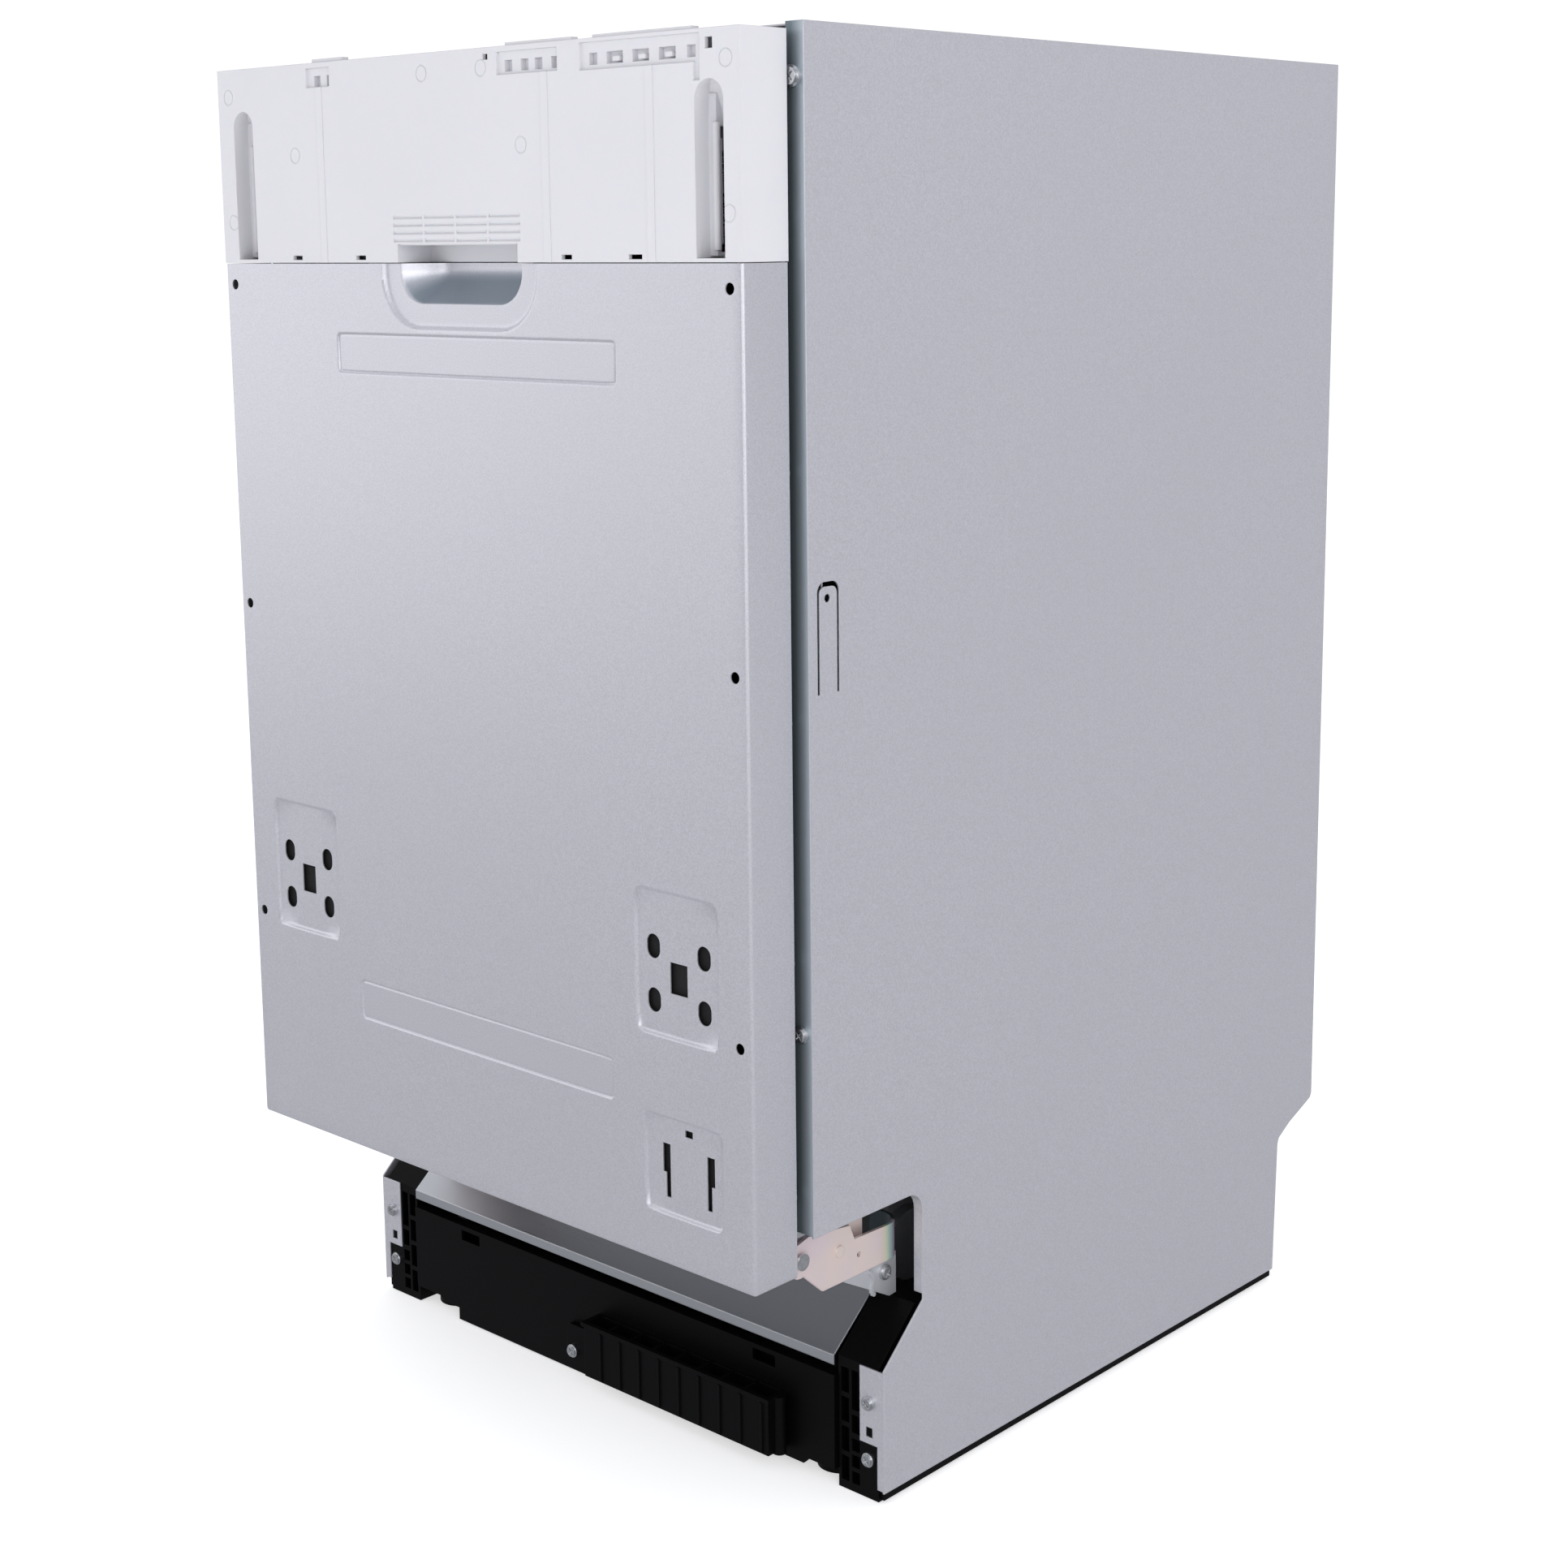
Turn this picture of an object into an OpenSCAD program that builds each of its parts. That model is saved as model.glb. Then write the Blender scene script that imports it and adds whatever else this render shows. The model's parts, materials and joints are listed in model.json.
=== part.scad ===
// Built-in slimline dishwasher without its furniture front: steel cabinet, wash tub,
// racks, pumps and a drop-down door with real hinges.
// X runs to the right, Y to the back, Z up. The origin is on the floor, under the
// middle of the closed machine.

/* [Cabinet] */
// Width over the side panels
cabinet_w = 448; // [444:1:452]
// Height over the side panels
cabinet_h = 815; // [810:1:870]
// Depth of the side panels
cabinet_d = 515; // [505:1:560]
// Thickness of the sheet metal
sheet_t = 1; // [0.8:0.1:1.2]
// Height of the open notch in front of the base, up to the front flange
notch_top = 178; // [176:1:180]
// How far the plinth stands back behind the front flange
toe_y = 57.6; // [57:0.1:60]

/* [Door] */
// How far the front of the door stands before the cabinet
door_proud = 39; // [38:1:42]
// Width of the door
door_w = 435; // [433:1:437]
// Lower edge of the door skin
door_z0 = 155.5; // [155:0.5:157]
// Joint between the metal skin and the plastic panel
door_split = 696.5; // [690:0.5:700]
// Top of the door
door_top = 811; // [808:1:812]
// Hinge pin, distance behind the front flange
hinge_y = 8; // [7:1:9]
// Hinge pin, height over the floor
hinge_z = 158; // [157:0.5:158]
// Radius of the hinge pin
pin_r = 4; // [3:0.5:5]

/* [Tub and racks] */
// Inner half width of the tub
tub_x = 202; // [200:1:203]
// Floor of the tub
tub_z = 183; // [182:1:184]
// Wire thickness of the racks
wire = 4; // [3:0.5:4]
// Radius of the lower rack's wheels
wheel_r = 15; // [13:0.5:15]
// Length of a spray arm from its hub
arm_l = 143; // [120:1:145]

/* [Fits] */
// Radial clearance of a pin in its bore
fit = 0.05; // [0.02:0.01:0.1]
// Clearance of a sliding part
slack = 0.5; // [0.3:0.1:0.6]
// Gap left between welded grilles and snapped plates
weld = 0.05; // [0.02:0.01:0.1]

/* [Hidden] */
$fn = 48;
half_w = cabinet_w / 2;
half_door = door_w / 2;
mid_y = (cabinet_d - door_proud) / 2;
door_back = -6;
pan_y = 12;                      // front of the raised pan of the inner door, towards the racks
track_y = 28;                    // the wheel tracks pressed into that pan
tub_top = 800;
tub_front = 12;
tub_back = 500;
ledge_z = tub_z + 6;             // wheel track along the tub's sides
wheel_z = ledge_z + 0.2 + wheel_r;
hub = [0, 250];                  // axis of both spray arms
well = [40, 162];                // axis of the filter cup
salt = [-142, 330];              // axis of the salt filler
button_x = [96, 122, 148, 174];
foot_xy = [[-172, 80], [172, 80], [0, 440]];
rack_front = 45;
rack_back = 470;
rail_z = 502;                    // centre line of the upper rack's rails

steel = [0.68, 0.69, 0.72];
bright = [0.80, 0.80, 0.81];
black = [0.07, 0.07, 0.08];
white = [0.89, 0.89, 0.91];
grey = [0.45, 0.46, 0.48];
zinc = [0.80, 0.76, 0.72];

// ---- helpers ----

// everything below is drawn with Y = 0 at the cabinet's front flange
module placed() translate([0, -mid_y, 0]) children();

module left_side() mirror([1, 0, 0]) children();

module both_sides() {
    children();
    mirror([1, 0, 0]) children();
}

// a block between two opposite corners
module block(a, b) translate(a) cube(b - a);

// an X-Z drawing, solid from y0 to y1
module front_cut(y0, y1) translate([0, y1, 0]) rotate([90, 0, 0]) linear_extrude(y1 - y0) children();

// a Y-Z drawing, solid from x0 to x1
module side_cut(x0, x1) translate([x0, 0, 0]) rotate([90, 0, 90]) linear_extrude(x1 - x0) children();

module rod_x(x0, x1, y, z, r) translate([x0, y, z]) rotate([0, 90, 0]) cylinder(r = r, h = x1 - x0);

module rod_y(y0, y1, x, z, r) translate([x, y1, z]) rotate([90, 0, 0]) cylinder(r = r, h = y1 - y0);

module rod_z(z0, z1, x, y, r) translate([x, y, z0]) cylinder(r = r, h = z1 - z0);

// flat rectangle with round corners
module rounded(x0, x1, z0, z1, r) {
    translate([x0 + r, z0]) square([x1 - x0 - 2 * r, z1 - z0]);
    translate([x0, z0 + r]) square([x1 - x0, z1 - z0 - 2 * r]);
    for (x = [x0 + r, x1 - r], z = [z0 + r, z1 - r])
        translate([x, z]) circle(r);
}

// points of an arc, in degrees
function arc(c, r, a0, a1, n = 6) =
    [for (i = [0:n]) let(a = a0 + (a1 - a0) * i / n) c + r * [cos(a), sin(a)]];

// pan head screw driven along +Y with its head before the plane y
module screw_y(x, y, z, head_r = 4, head_h = 2.4, shank = 8) {
    difference() {
        union() {
            rod_y(y - head_h * 0.6, y, x, z, head_r);
            rod_y(y - head_h, y - head_h * 0.6, x, z, head_r * 0.8);
            rod_y(y, y + shank, x, z, 1.7);
        }
        for (a = [45, 135])
            translate([x, y - head_h, z]) rotate([0, a, 0])
                cube([head_r * 1.1, 2.6, 0.9], center = true);
    }
}

// ---- cabinet shell ----

module panel_outline() polygon(concat(
    [[0, notch_top], [0, cabinet_h], [cabinet_d, cabinet_h], [cabinet_d, 122]],
    arc([cabinet_d - 5, 122], 5, 0, -70, 4),
    [[487, 107.5]],
    arc([486, 93], 14, 150, 184, 4),
    [[469, 7], [toe_y, 7], [toe_y, 80.7], [92.4, 112.4], [92, 164]],
    arc([80, 166], 12, 0, 90, 6)
));

// the U-shaped tab that a screw pulls against the furniture
module tab_slit() {
    difference() {
        union() {
            rounded(7, 24.2, 500, 533, 5.5);
            for (y = [7, 22.4])
                translate([y, 474]) square([1.8, 50]);
        }
        rounded(8.8, 22.4, 490, 530.4, 4);
    }
    translate([14.9, 524.3]) circle(2.2);
}

module side_panel() {
    inner = half_w - sheet_t;
    side_cut(inner, half_w) difference() {
        panel_outline();
        tab_slit();
    }
    // front flange with its screw holes, rear flange and top flange
    difference() {
        block([212, 0, notch_top + 1], [inner, sheet_t, cabinet_h]);
        for (z = [291, 788])
            rod_y(-1, 3, 217.5, z, 1.75);
    }
    block([212, sheet_t, notch_top + 6], [212 + sheet_t, 6, cabinet_h - 6]);
    block([212, cabinet_d - sheet_t, 122], [inner, cabinet_d, cabinet_h]);
    block([212, sheet_t, cabinet_h - sheet_t], [inner, cabinet_d - sheet_t, cabinet_h]);
    // narrow lip under the notch, wider along its back
    block([inner - 2.4, 4, notch_top], [inner, 80, notch_top + 1]);
    side_cut(inner - 5.4, inner) polygon(concat(
        [[93, 116]], arc([80, 166], 13, 0, 75, 5), arc([80, 166], 12, 75, 0, 5), [[92, 116]]
    ));
    // front tab over the corner post
    difference() {
        front_cut(toe_y, toe_y + sheet_t) difference() {
            union() {
                translate([206, 34]) square([inner - 206, 45.6]);
                translate([219, 8]) square([inner - 219, 30]);
            }
            translate([210.4, 38]) square([5, 6]);
        }
        rod_y(toe_y - 1, toe_y + 3, 213, 59, 2);
    }
}

module side_panel_left() color(steel) placed() left_side() side_panel();

module side_panel_right() color(steel) placed() side_panel();

module rear_panel() color(steel) placed() difference() {
    union() {
        block([-half_w + 1.5, cabinet_d - 2, 124], [half_w - 1.5, cabinet_d - 1, 812]);
        for (z = [230, 420, 610])
            front_cut(cabinet_d - 6, cabinet_d - 2) rounded(-190, 190, z, z + 110, 12);
    }
    for (z = [230, 420, 610])
        front_cut(cabinet_d - 5, cabinet_d) rounded(-189, 189, z + 1, z + 109, 11);
}

module top_rails() color(grey) placed() difference() {
    union() {
        for (y = [[2, 34], [476, 510]]) {
            block([-half_w + 1.2, y[0], 813], [half_w - 1.2, y[1], 814]);
            block([-200, y[1] - 1, 803], [200, y[1], 813]);
        }
        for (s = [-1, 1])
            translate([s * 180, 0, 0]) block([-14, 33, 813], [14, 477, 814]);
    }
    for (x = [-150, 150], y = [17, 494])
        rod_z(812, 815, x, y, 2.2);
}

module base_tray() color(black) placed() difference() {
    union() {
        block([-222, 92, 12], [222, 469, 15]);
        block([-187, 64, 12], [187, 92.5, 15]);
        both_sides() {
            block([219.2, 60, 1.5], [222, 469, 62]);
            block([212, 92.5, 15], [219.5, 95, 62]);
        }
        block([-187, 64, 14.5], [187, 66.5, 66]);
        block([-222, 466, 1.5], [222, 469, 100]);
        for (x = [-120, -60, 60, 120])
            block([x - 1.25, 66.5, 15], [x + 1.25, 120, 40]);
        for (p = foot_xy)
            rod_z(8, 34, p[0], p[1], 9);
        // cradles for the pumps and the softener
        for (x = [-130, -60])
            block([x - 3, 140, 15], [x + 3, 200, 80]);
        block([-196, 280, 15], [-190, 410, 79.5]);
        block([-122, 280, 15], [-116, 410, 79.5]);
        block([128, 130, 15], [134, 170, 86]);
    }
    for (p = foot_xy)
        rod_z(6, 40, p[0], p[1], 4 + fit);
    for (x = [-90, 90])
        rod_y(465, 470, x, 62, x < 0 ? 9 : 11);
    rod_y(465, 470, 150, 62, 8);
}

module corner_post() {
    difference() {
        side_cut(189, 219) polygon([[toe_y + 1.1, 0], [91, 0], [91, 109.5], [toe_y + 1.1, 79.8]]);
        // moulded pockets with ribs between them
        for (row = [0:3])
            block([191, toe_y, 5 + row * 18], [197, toe_y + 7, 20 + row * 18]);
        for (row = [0:2])
            block([199, toe_y, 5 + row * 10], [205, toe_y + 6, 12.5 + row * 10]);
        block([199, toe_y, 36], [205, toe_y + 6, 47]);
        block([199, toe_y, 50], [205, toe_y + 6, 74]);
        rod_y(toe_y, toe_y + 12, 213, 59, 1.75);
        rod_y(toe_y, toe_y + 12, 212, 24, 1.75);
        // open back
        block([192, toe_y + 10, -1], [216, 95, 74]);
    }
    // sole with a stepped front
    block([200, toe_y + 1.1, 0], [218, toe_y + 8, 4]);
}

module corner_post_left() color(black) placed() left_side() corner_post();

module corner_post_right() color(black) placed() corner_post();

module kick_panel() color(black) placed() difference() {
    union() {
        front_cut(56, 58.5) polygon([
            [-188, 12], [-162, 12], [-158, 9], [-145, 9], [-145, 1], [-6, 1], [-6, 6],
            [164, 6], [168, 10], [188, 10], [188, 68], [-188, 68]
        ]);
        block([-188, 58.5, 66], [188, 63.8, 68]);
        for (x = [-188, 186])
            block([x, 58.5, 12], [x + 2, 63.8, 66]);
    }
    for (x = [-140, 124])
        front_cut(55, 60) translate([x, 58]) square([18, 7]);
    rod_y(50, 60, -28, 17, 1.75);
}

module kick_pocket() color(black) placed() {
    difference() {
        union() {
            block([-6, 41, 11], [150, 55.9, 46]);
            front_cut(50, 55.9) rounded(-34, 0, 9, 34, 3);
            for (x = [8:17:144])
                block([x, 40, 12], [x + 1.8, 41, 43]);
            block([-7.5, 39.6, 44], [151.5, 55.9, 46.5]);
        }
        // open pockets with partitions
        for (i = [0:7])
            block([-3.5 + i * 19.2, 43, 15], [13.5 + i * 19.2, 54, 50]);
        rod_y(40, 60, -28, 17, 1.75);
        block([-35, 40, 8], [-6.1, 52, 40]);
    }
    rod_z(11, 46.5, 151.5, 49, 4);
}

module drip_plate() color(bright) placed() {
    side_cut(-187.5, 187.5) polygon([
        [56.6, 74], [57.4, 74], [57.4, 79.2], [93.6, 109.8], [93.6, 111], [92.9, 110.3], [56.6, 80]
    ]);
    // narrower apron up to the tub
    side_cut(-172, 172) polygon([[92.9, 109], [93.7, 109], [97, 178], [96.2, 178]]);
}

// ---- hinges ----

module hinge_bracket() {
    difference() {
        union() {
            // outer plate
            side_cut(205, 207) {
                translate([hinge_y, hinge_z]) circle(10);
                polygon([
                    [7, 168], [15, 170], [49, 165.8], [53, 156.6], [82, 155.8],
                    [82, 134.6], [26, 134.6], [9, 149.5]
                ]);
            }
            // its end bends inwards and becomes a leg down to the base
            intersection() {
                difference() {
                    rod_z(134.6, 155.8, 192, 82, 15);
                    rod_z(134, 156, 192, 82, 13);
                }
                block([192, 82, 134], [208, 98, 156]);
            }
            block([182, 95, 15], [192, 97, 155.8]);
            // inner plate
            side_cut(197.5, 199.5) {
                translate([hinge_y, hinge_z]) circle(10);
                translate([hinge_y, 148]) square([60, 18]);
            }
            block([197.5, 60, 148], [207, 68, 150]);
            // triangular stay over the post
            side_cut(203.2, 205) polygon([
                [46, 137], [46, 132.6], [85, 111.5], [91, 112], [91, 137]
            ]);
            // wavy bead
            for (t = [0:8])
                rod_x(204, 205.9, 68 + 1.6 * sin(t * 40) + t * 0.5, 131 - t * 1.7, 1.4);
        }
        rod_x(190, 210, hinge_y, hinge_z, pin_r);
        rod_x(204, 208, 56.6, 146.3, 1.6);
        rod_x(202, 206, 80.5, 127.5, 1.75);
    }
    // riveted button
    rod_x(206.9, 208, 39.8, 153.5, 3.4);
}

module hinge_bracket_left() color(zinc) placed() left_side() hinge_bracket();

module hinge_bracket_right() color(zinc) placed() hinge_bracket();

module hinge_pins() color(bright) placed() both_sides() {
    rod_x(195, 208.5, hinge_y, hinge_z, pin_r);
    rod_x(208.5, 209.3, hinge_y, hinge_z, pin_r + 0.8);
    rod_x(194, 195.5, hinge_y, hinge_z, pin_r + 1.5);
}

module hinge_arm() difference() {
    side_cut(201, 203.6) {
        translate([hinge_y, hinge_z]) circle(9);
        translate([-34, 157.5]) square([42, 9.4]);
        translate([-34, 157.5]) square([20, 104]);
    }
    rod_x(195, 210, hinge_y, hinge_z, pin_r + fit);
    for (z = [190, 240])
        rod_x(200, 205, -24, z, 2.2);
}

module hinge_arm_left() color(grey) placed() left_side() hinge_arm();

module hinge_arm_right() color(grey) placed() hinge_arm();

// ---- tub and what hangs on it ----

module tub() color(bright) placed() difference() {
    union() {
        difference() {
            front_cut(tub_front, tub_back) rounded(-tub_x - 1, tub_x + 1, tub_z - 1, tub_top, 14);
            front_cut(tub_front - 1, tub_back - 1) rounded(-tub_x, tub_x, tub_z, tub_top - 1, 13);
        }
        // front flange out to the cabinet
        front_cut(tub_front, tub_front + 1) difference() {
            translate([-222.5, tub_z]) square([445, 812 - tub_z]);
            rounded(-tub_x - 0.5, tub_x + 0.5, tub_z - 20, tub_top - 0.5, 13.5);
        }
        // wheel tracks
        both_sides() {
            block([176, 20, ledge_z - 1], [tub_x + 0.5, 480, ledge_z]);
            block([176, 20, tub_z - 0.5], [177, 480, ledge_z]);
        }
    }
    rod_z(tub_z - 5, tub_z + 5, hub[0], hub[1], 12);
    rod_z(tub_z - 5, tub_z + 3, well[0], well[1], 40);
    rod_z(tub_z - 5, tub_z + 3, salt[0], salt[1], 22);
}

module door_gasket() color(black) placed() front_cut(-4.4, tub_front - 0.1) {
    for (s = [-1, 1])
        translate([s * 204 - 3, 196]) square([6, 599]);
    translate([-207, 784]) square([414, 11.5]);
}

module upper_rail_channels() color(bright) placed() both_sides() {
    block([200, 32, rail_z - 8], [201.6, 476, rail_z + 8]);
    for (z = [rail_z - 8, rail_z + 6.5])
        block([190.5, 32, z], [200.5, 476, z + 1.5]);
    block([190.5, 474, rail_z - 8], [200.5, 476, rail_z + 8]);
}

module sump() color(grey) placed() {
    difference() {
        rod_z(96, tub_z - 1, well[0], well[1], 60);
        rod_z(99, tub_z, well[0], well[1], 57);
    }
    // feed pipe to the lower spray arm
    difference() {
        union() {
            rod_z(150, 213, hub[0], hub[1], 9);
            block([hub[0] - 10, 202, 150], [hub[0] + 14, hub[1], 172]);
            rod_z(150, 172, hub[0], hub[1], 12);
        }
        rod_z(156, 214, hub[0], hub[1], 7);
    }
    difference() {
        rod_z(213, 215.5, hub[0], hub[1], 13);
        rod_z(212, 216, hub[0], hub[1], 7);
    }
}

module wash_pump() color(grey) placed() {
    rod_x(-150, -62, 170, 120, 36);
    rod_x(-62, -46, 170, 120, 40);
    rod_x(-46, -24, 160, 120, 12);
    rod_x(-156, -150, 170, 120, 12);
    block([-130, 160, 152], [-80, 180, 162]);
}

module drain_pump() color(grey) placed() {
    rod_x(102, 118, 150, 112, 26);
    rod_x(118, 168, 150, 112, 22);
    block([120, 138, 132], [160, 162, 140]);
    rod_z(136, 158, 110, 150, 10);
}

module water_softener() color(white) placed() difference() {
    union() {
        translate([0, 0, 80]) linear_extrude(86) rounded(-200, -112, 270, 420, 10);
        rod_z(160, tub_z + 1, salt[0], salt[1], 20);
    }
    rod_z(100, tub_z + 2, salt[0], salt[1], 16 + fit);
}

module air_break_tank() color(white) placed() difference() {
    side_cut(-221, -205) rounded(70, 310, 260, 610, 14);
    // moulded water channels, open to the tub
    for (i = [0:5])
        translate([0, 0, i * 55])
            block([-218, i % 2 == 0 ? 78 : 90, 272], [-204, i % 2 == 0 ? 290 : 302, 320]);
    for (i = [0:4])
        translate([0, 0, i * 55])
            block([-218, i % 2 == 0 ? 278 : 78, 315], [-204, i % 2 == 0 ? 290 : 90, 330]);
}

module inlet_valve() color(white) placed() difference() {
    union() {
        rod_y(462.5, 492, 90, 62, 13.2);
        rod_y(450, 462.5, 90, 62, 17);
        rod_y(425, 450, 90, 62, 13);
        block([74, 425, 62], [106, 448, 96]);
    }
    rod_y(455, 493, 90, 62, 9.5);
    // neck where the stub passes the tray's wall
    difference() {
        rod_y(465.8, 469.2, 90, 62, 14);
        rod_y(465, 470, 90, 62, 10.9);
    }
}

module drain_outlet() color(grey) placed() difference() {
    union() {
        rod_y(440, 495, -90, 62, 8.9);
        for (y = [473, 480, 487])
            rod_y(y, y + 3, -90, 62, 9.9);
        rod_y(452, 465.8, -90, 62, 13);
    }
    rod_y(439, 496, -90, 62, 7);
}

module cable_gland() color(black) placed() difference() {
    union() {
        rod_y(460, 476, 150, 62, 7.9);
        rod_y(469.1, 474, 150, 62, 11);
        rod_y(474, 484, 150, 62, 6.5);
        rod_y(460, 465.9, 150, 62, 10);
    }
    rod_y(459, 485, 150, 62, 3.6);
}

module flat_filter() color(bright) placed() difference() {
    translate([0, 0, tub_z]) linear_extrude(1.2) rounded(-112, 112, 88, 345, 14);
    rod_z(tub_z - 1, tub_z + 3, hub[0], hub[1], 16);
    rod_z(tub_z - 1, tub_z + 3, well[0], well[1], 34);
    for (x = [-100:12.5:0], y = [102:12.5:215])
        rod_z(tub_z - 1, tub_z + 3, x - 2, y, 2.1);
}

module door_striker() color(bright) placed() difference() {
    union() {
        block([-9, -16, 796], [9, 11.9, 798]);
        block([-16, 10.4, 796], [16, 11.9, 811]);
    }
    block([-5, -13, 795], [5, -8, 799]);
    for (x = [-11, 11])
        rod_y(9, 13, x, 805, 1.6);
}

module cabinet_screws() color(bright) placed() {
    both_sides() {
        screw_y(217.5, 0, 291, 4.6, 3.2, 9);
        screw_y(217.5, 0, 788, 5.6, 4.2, 9);
        screw_y(213, toe_y, 59, 4.2, 3, 10);
        screw_y(212, toe_y + 1.1, 24, 4.2, 3, 10);
        // screw through the stay
        difference() {
            union() {
                rod_x(205, 206.6, 80.5, 127.5, 4.4);
                rod_x(206.6, 207.6, 80.5, 127.5, 3.5);
                rod_x(199, 205, 80.5, 127.5, 1.7);
            }
            for (a = [45, 135])
                translate([207.6, 80.5, 127.5]) rotate([a, 0, 0]) cube([2.4, 5, 0.9], center = true);
        }
    }
    // screw through the pocket's ear
    screw_y(-28, 52, 17, 4.2, 3, 8);
}

module riser_pipe() color(grey) placed() {
    rod_z(tub_z, 474, 0, 486, 9);
    rod_y(472.5, 486, 0, 474, 9);
    rod_z(474, 484, 0, 486, 9);
    block([-14, 488, tub_z + 60], [14, 499, tub_z + 70]);
}

module door_springs() color(grey) placed() both_sides() {
    translate([212, 150, 70]) rotate([-90, 0, 0]) rotate_extrude() polygon(concat(
        [[5, 0]],
        [for (i = [0:29]) each [[6.2, i * 5], [7.4, i * 5 + 2.5]]],
        [[6.2, 150], [5, 150]]
    ));
    rod_y(146, 150, 212, 70, 6.2);
    rod_y(300, 304, 212, 70, 6.2);
}

// ---- door ----

// a recess pressed into sheet metal, as its own tray
module pressed(x0, x1, z0, z1, r, y0, depth, t = 0.8) difference() {
    front_cut(y0, y0 + depth + t) rounded(x0 - t, x1 + t, z0 - t, z1 + t, r + t);
    front_cut(y0 - 1, y0 + depth) rounded(x0, x1, z0, z1, r);
}

module obround_z(x, z, w, h) {
    translate([x - w / 2, z - (h - w) / 2]) square([w, h - w]);
    for (s = [-1, 1])
        translate([x, z + s * (h - w) / 2]) circle(w / 2);
}

// holes of the furniture brackets, drawn in the skin's plane
module bracket_holes() for (s = [-1, 1]) {
    for (x = [143.3, 181.3], z = [304, 334])
        obround_z(s * x, z, 10, 13.6);
    translate([s * 162.3 - 6.5, 310]) square([13, 17.5]);
}

// two hook slots, wide above and narrow below
module hook_slots() {
    translate([165, 231.5]) square([5.7, 4]);
    translate([147.7, 208]) square([5.7, 16.5]);
    translate([150, 194]) square([3.4, 14.5]);
    translate([181.3, 208]) square([5.7, 16.5]);
    translate([181.3, 194]) square([3.4, 14.5]);
}

module door_skin() color(steel) placed() {
    y0 = -door_proud;
    t = 0.8;
    recesses = [
        // x0, x1, z0, z1, corner, depth
        [-109, 125, 634, 656, 4, 0.8],
        [-110.7, 110.7, 241, 264, 4, 0.8],
        [-192.5, -131.5, 286, 365.5, 6, 2],
        [131.5, 192.5, 286, 365.5, 6, 2],
        [136, 193.8, 185.5, 240, 5, 2]
    ];
    difference() {
        union() {
            difference() {
                front_cut(y0, y0 + t) translate([-half_door, door_z0])
                    square([door_w, door_split - door_z0]);
                for (q = recesses)
                    front_cut(y0 - 1, y0 + 2) rounded(q[0], q[1], q[2], q[3], q[4]);
                front_cut(y0 - 1, y0 + 2) rounded(-64.5, 64.5, 661, 740, 30);
            }
            for (q = recesses)
                pressed(q[0], q[1], q[2], q[3], q[4], y0, q[5], t);
            // stepped rim of the grip and the grip itself
            intersection() {
                union() {
                    difference() {
                        pressed(-64.5, 64.5, 661, 740, 30, y0, 1.4, t);
                        front_cut(y0 - 1, y0 + 5) rounded(-51.5, 51.5, 674, 740, 19);
                    }
                    difference() {
                        front_cut(y0 + 1.4, y0 + 26) rounded(-52.3, 52.3, 673.2, 740, 20);
                        front_cut(y0, y0 + 25.2) rounded(-51.5, 51.5, 674, 740, 19);
                    }
                }
                block([-70, y0 - 1, 650], [70, 0, door_split]);
            }
            both_sides() block([half_door - t, y0, door_z0], [half_door, door_back, door_split]);
            block([-half_door, y0, door_z0], [half_door, door_back, door_z0 + t]);
        }
        front_cut(y0 - 1, y0 + 5) {
            bracket_holes();
            hook_slots();
        }
        for (x = [-208.7, 208.7], z = [291, 488, 684])
            rod_y(y0 - 1, y0 + 3, x, z, 3.1);
    }
}

// hooked slot in the plastic panel: arched top, sloping throat, back open below the arch
module hook_channel(x, w) {
    l = x - w / 2;
    difference() {
        front_cut(-36.6, -22) {
            translate([l - 2, 699]) square([w + 2, 77]);
            translate([x - 1, 776.5]) circle(w / 2 + 2);
        }
        block([l, -25, 702], [x + w, -21, 764]);
        for (z = [[702, 706], [758, 764]])
            block([l - 3, -26.5, z[0]], [x, -21, z[1]]);
        difference() {
            front_cut(-40, -24) {
                translate([l, 697]) square([w + 2, 80]);
                translate([x, 776.5]) circle(w / 2);
            }
            // throat under the arch
            side_cut(l - 3, x + w) polygon(concat(
                [[-40, 800], [-21, 800], [-21, 762]],
                [for (i = [6:-1:0]) let(a = i * 15) [-39 + 15 * sin(a), 762 + 26 * cos(a)]]
            ));
            block([l - 1, -29, 700], [l + w * 0.27, -22, 780]);
            rod_z(703, 766, l + w * 0.27, -29, 2);
        }
        block([x + w / 2, -41, 690], [x + w, -10, 800]);
    }
}

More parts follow.
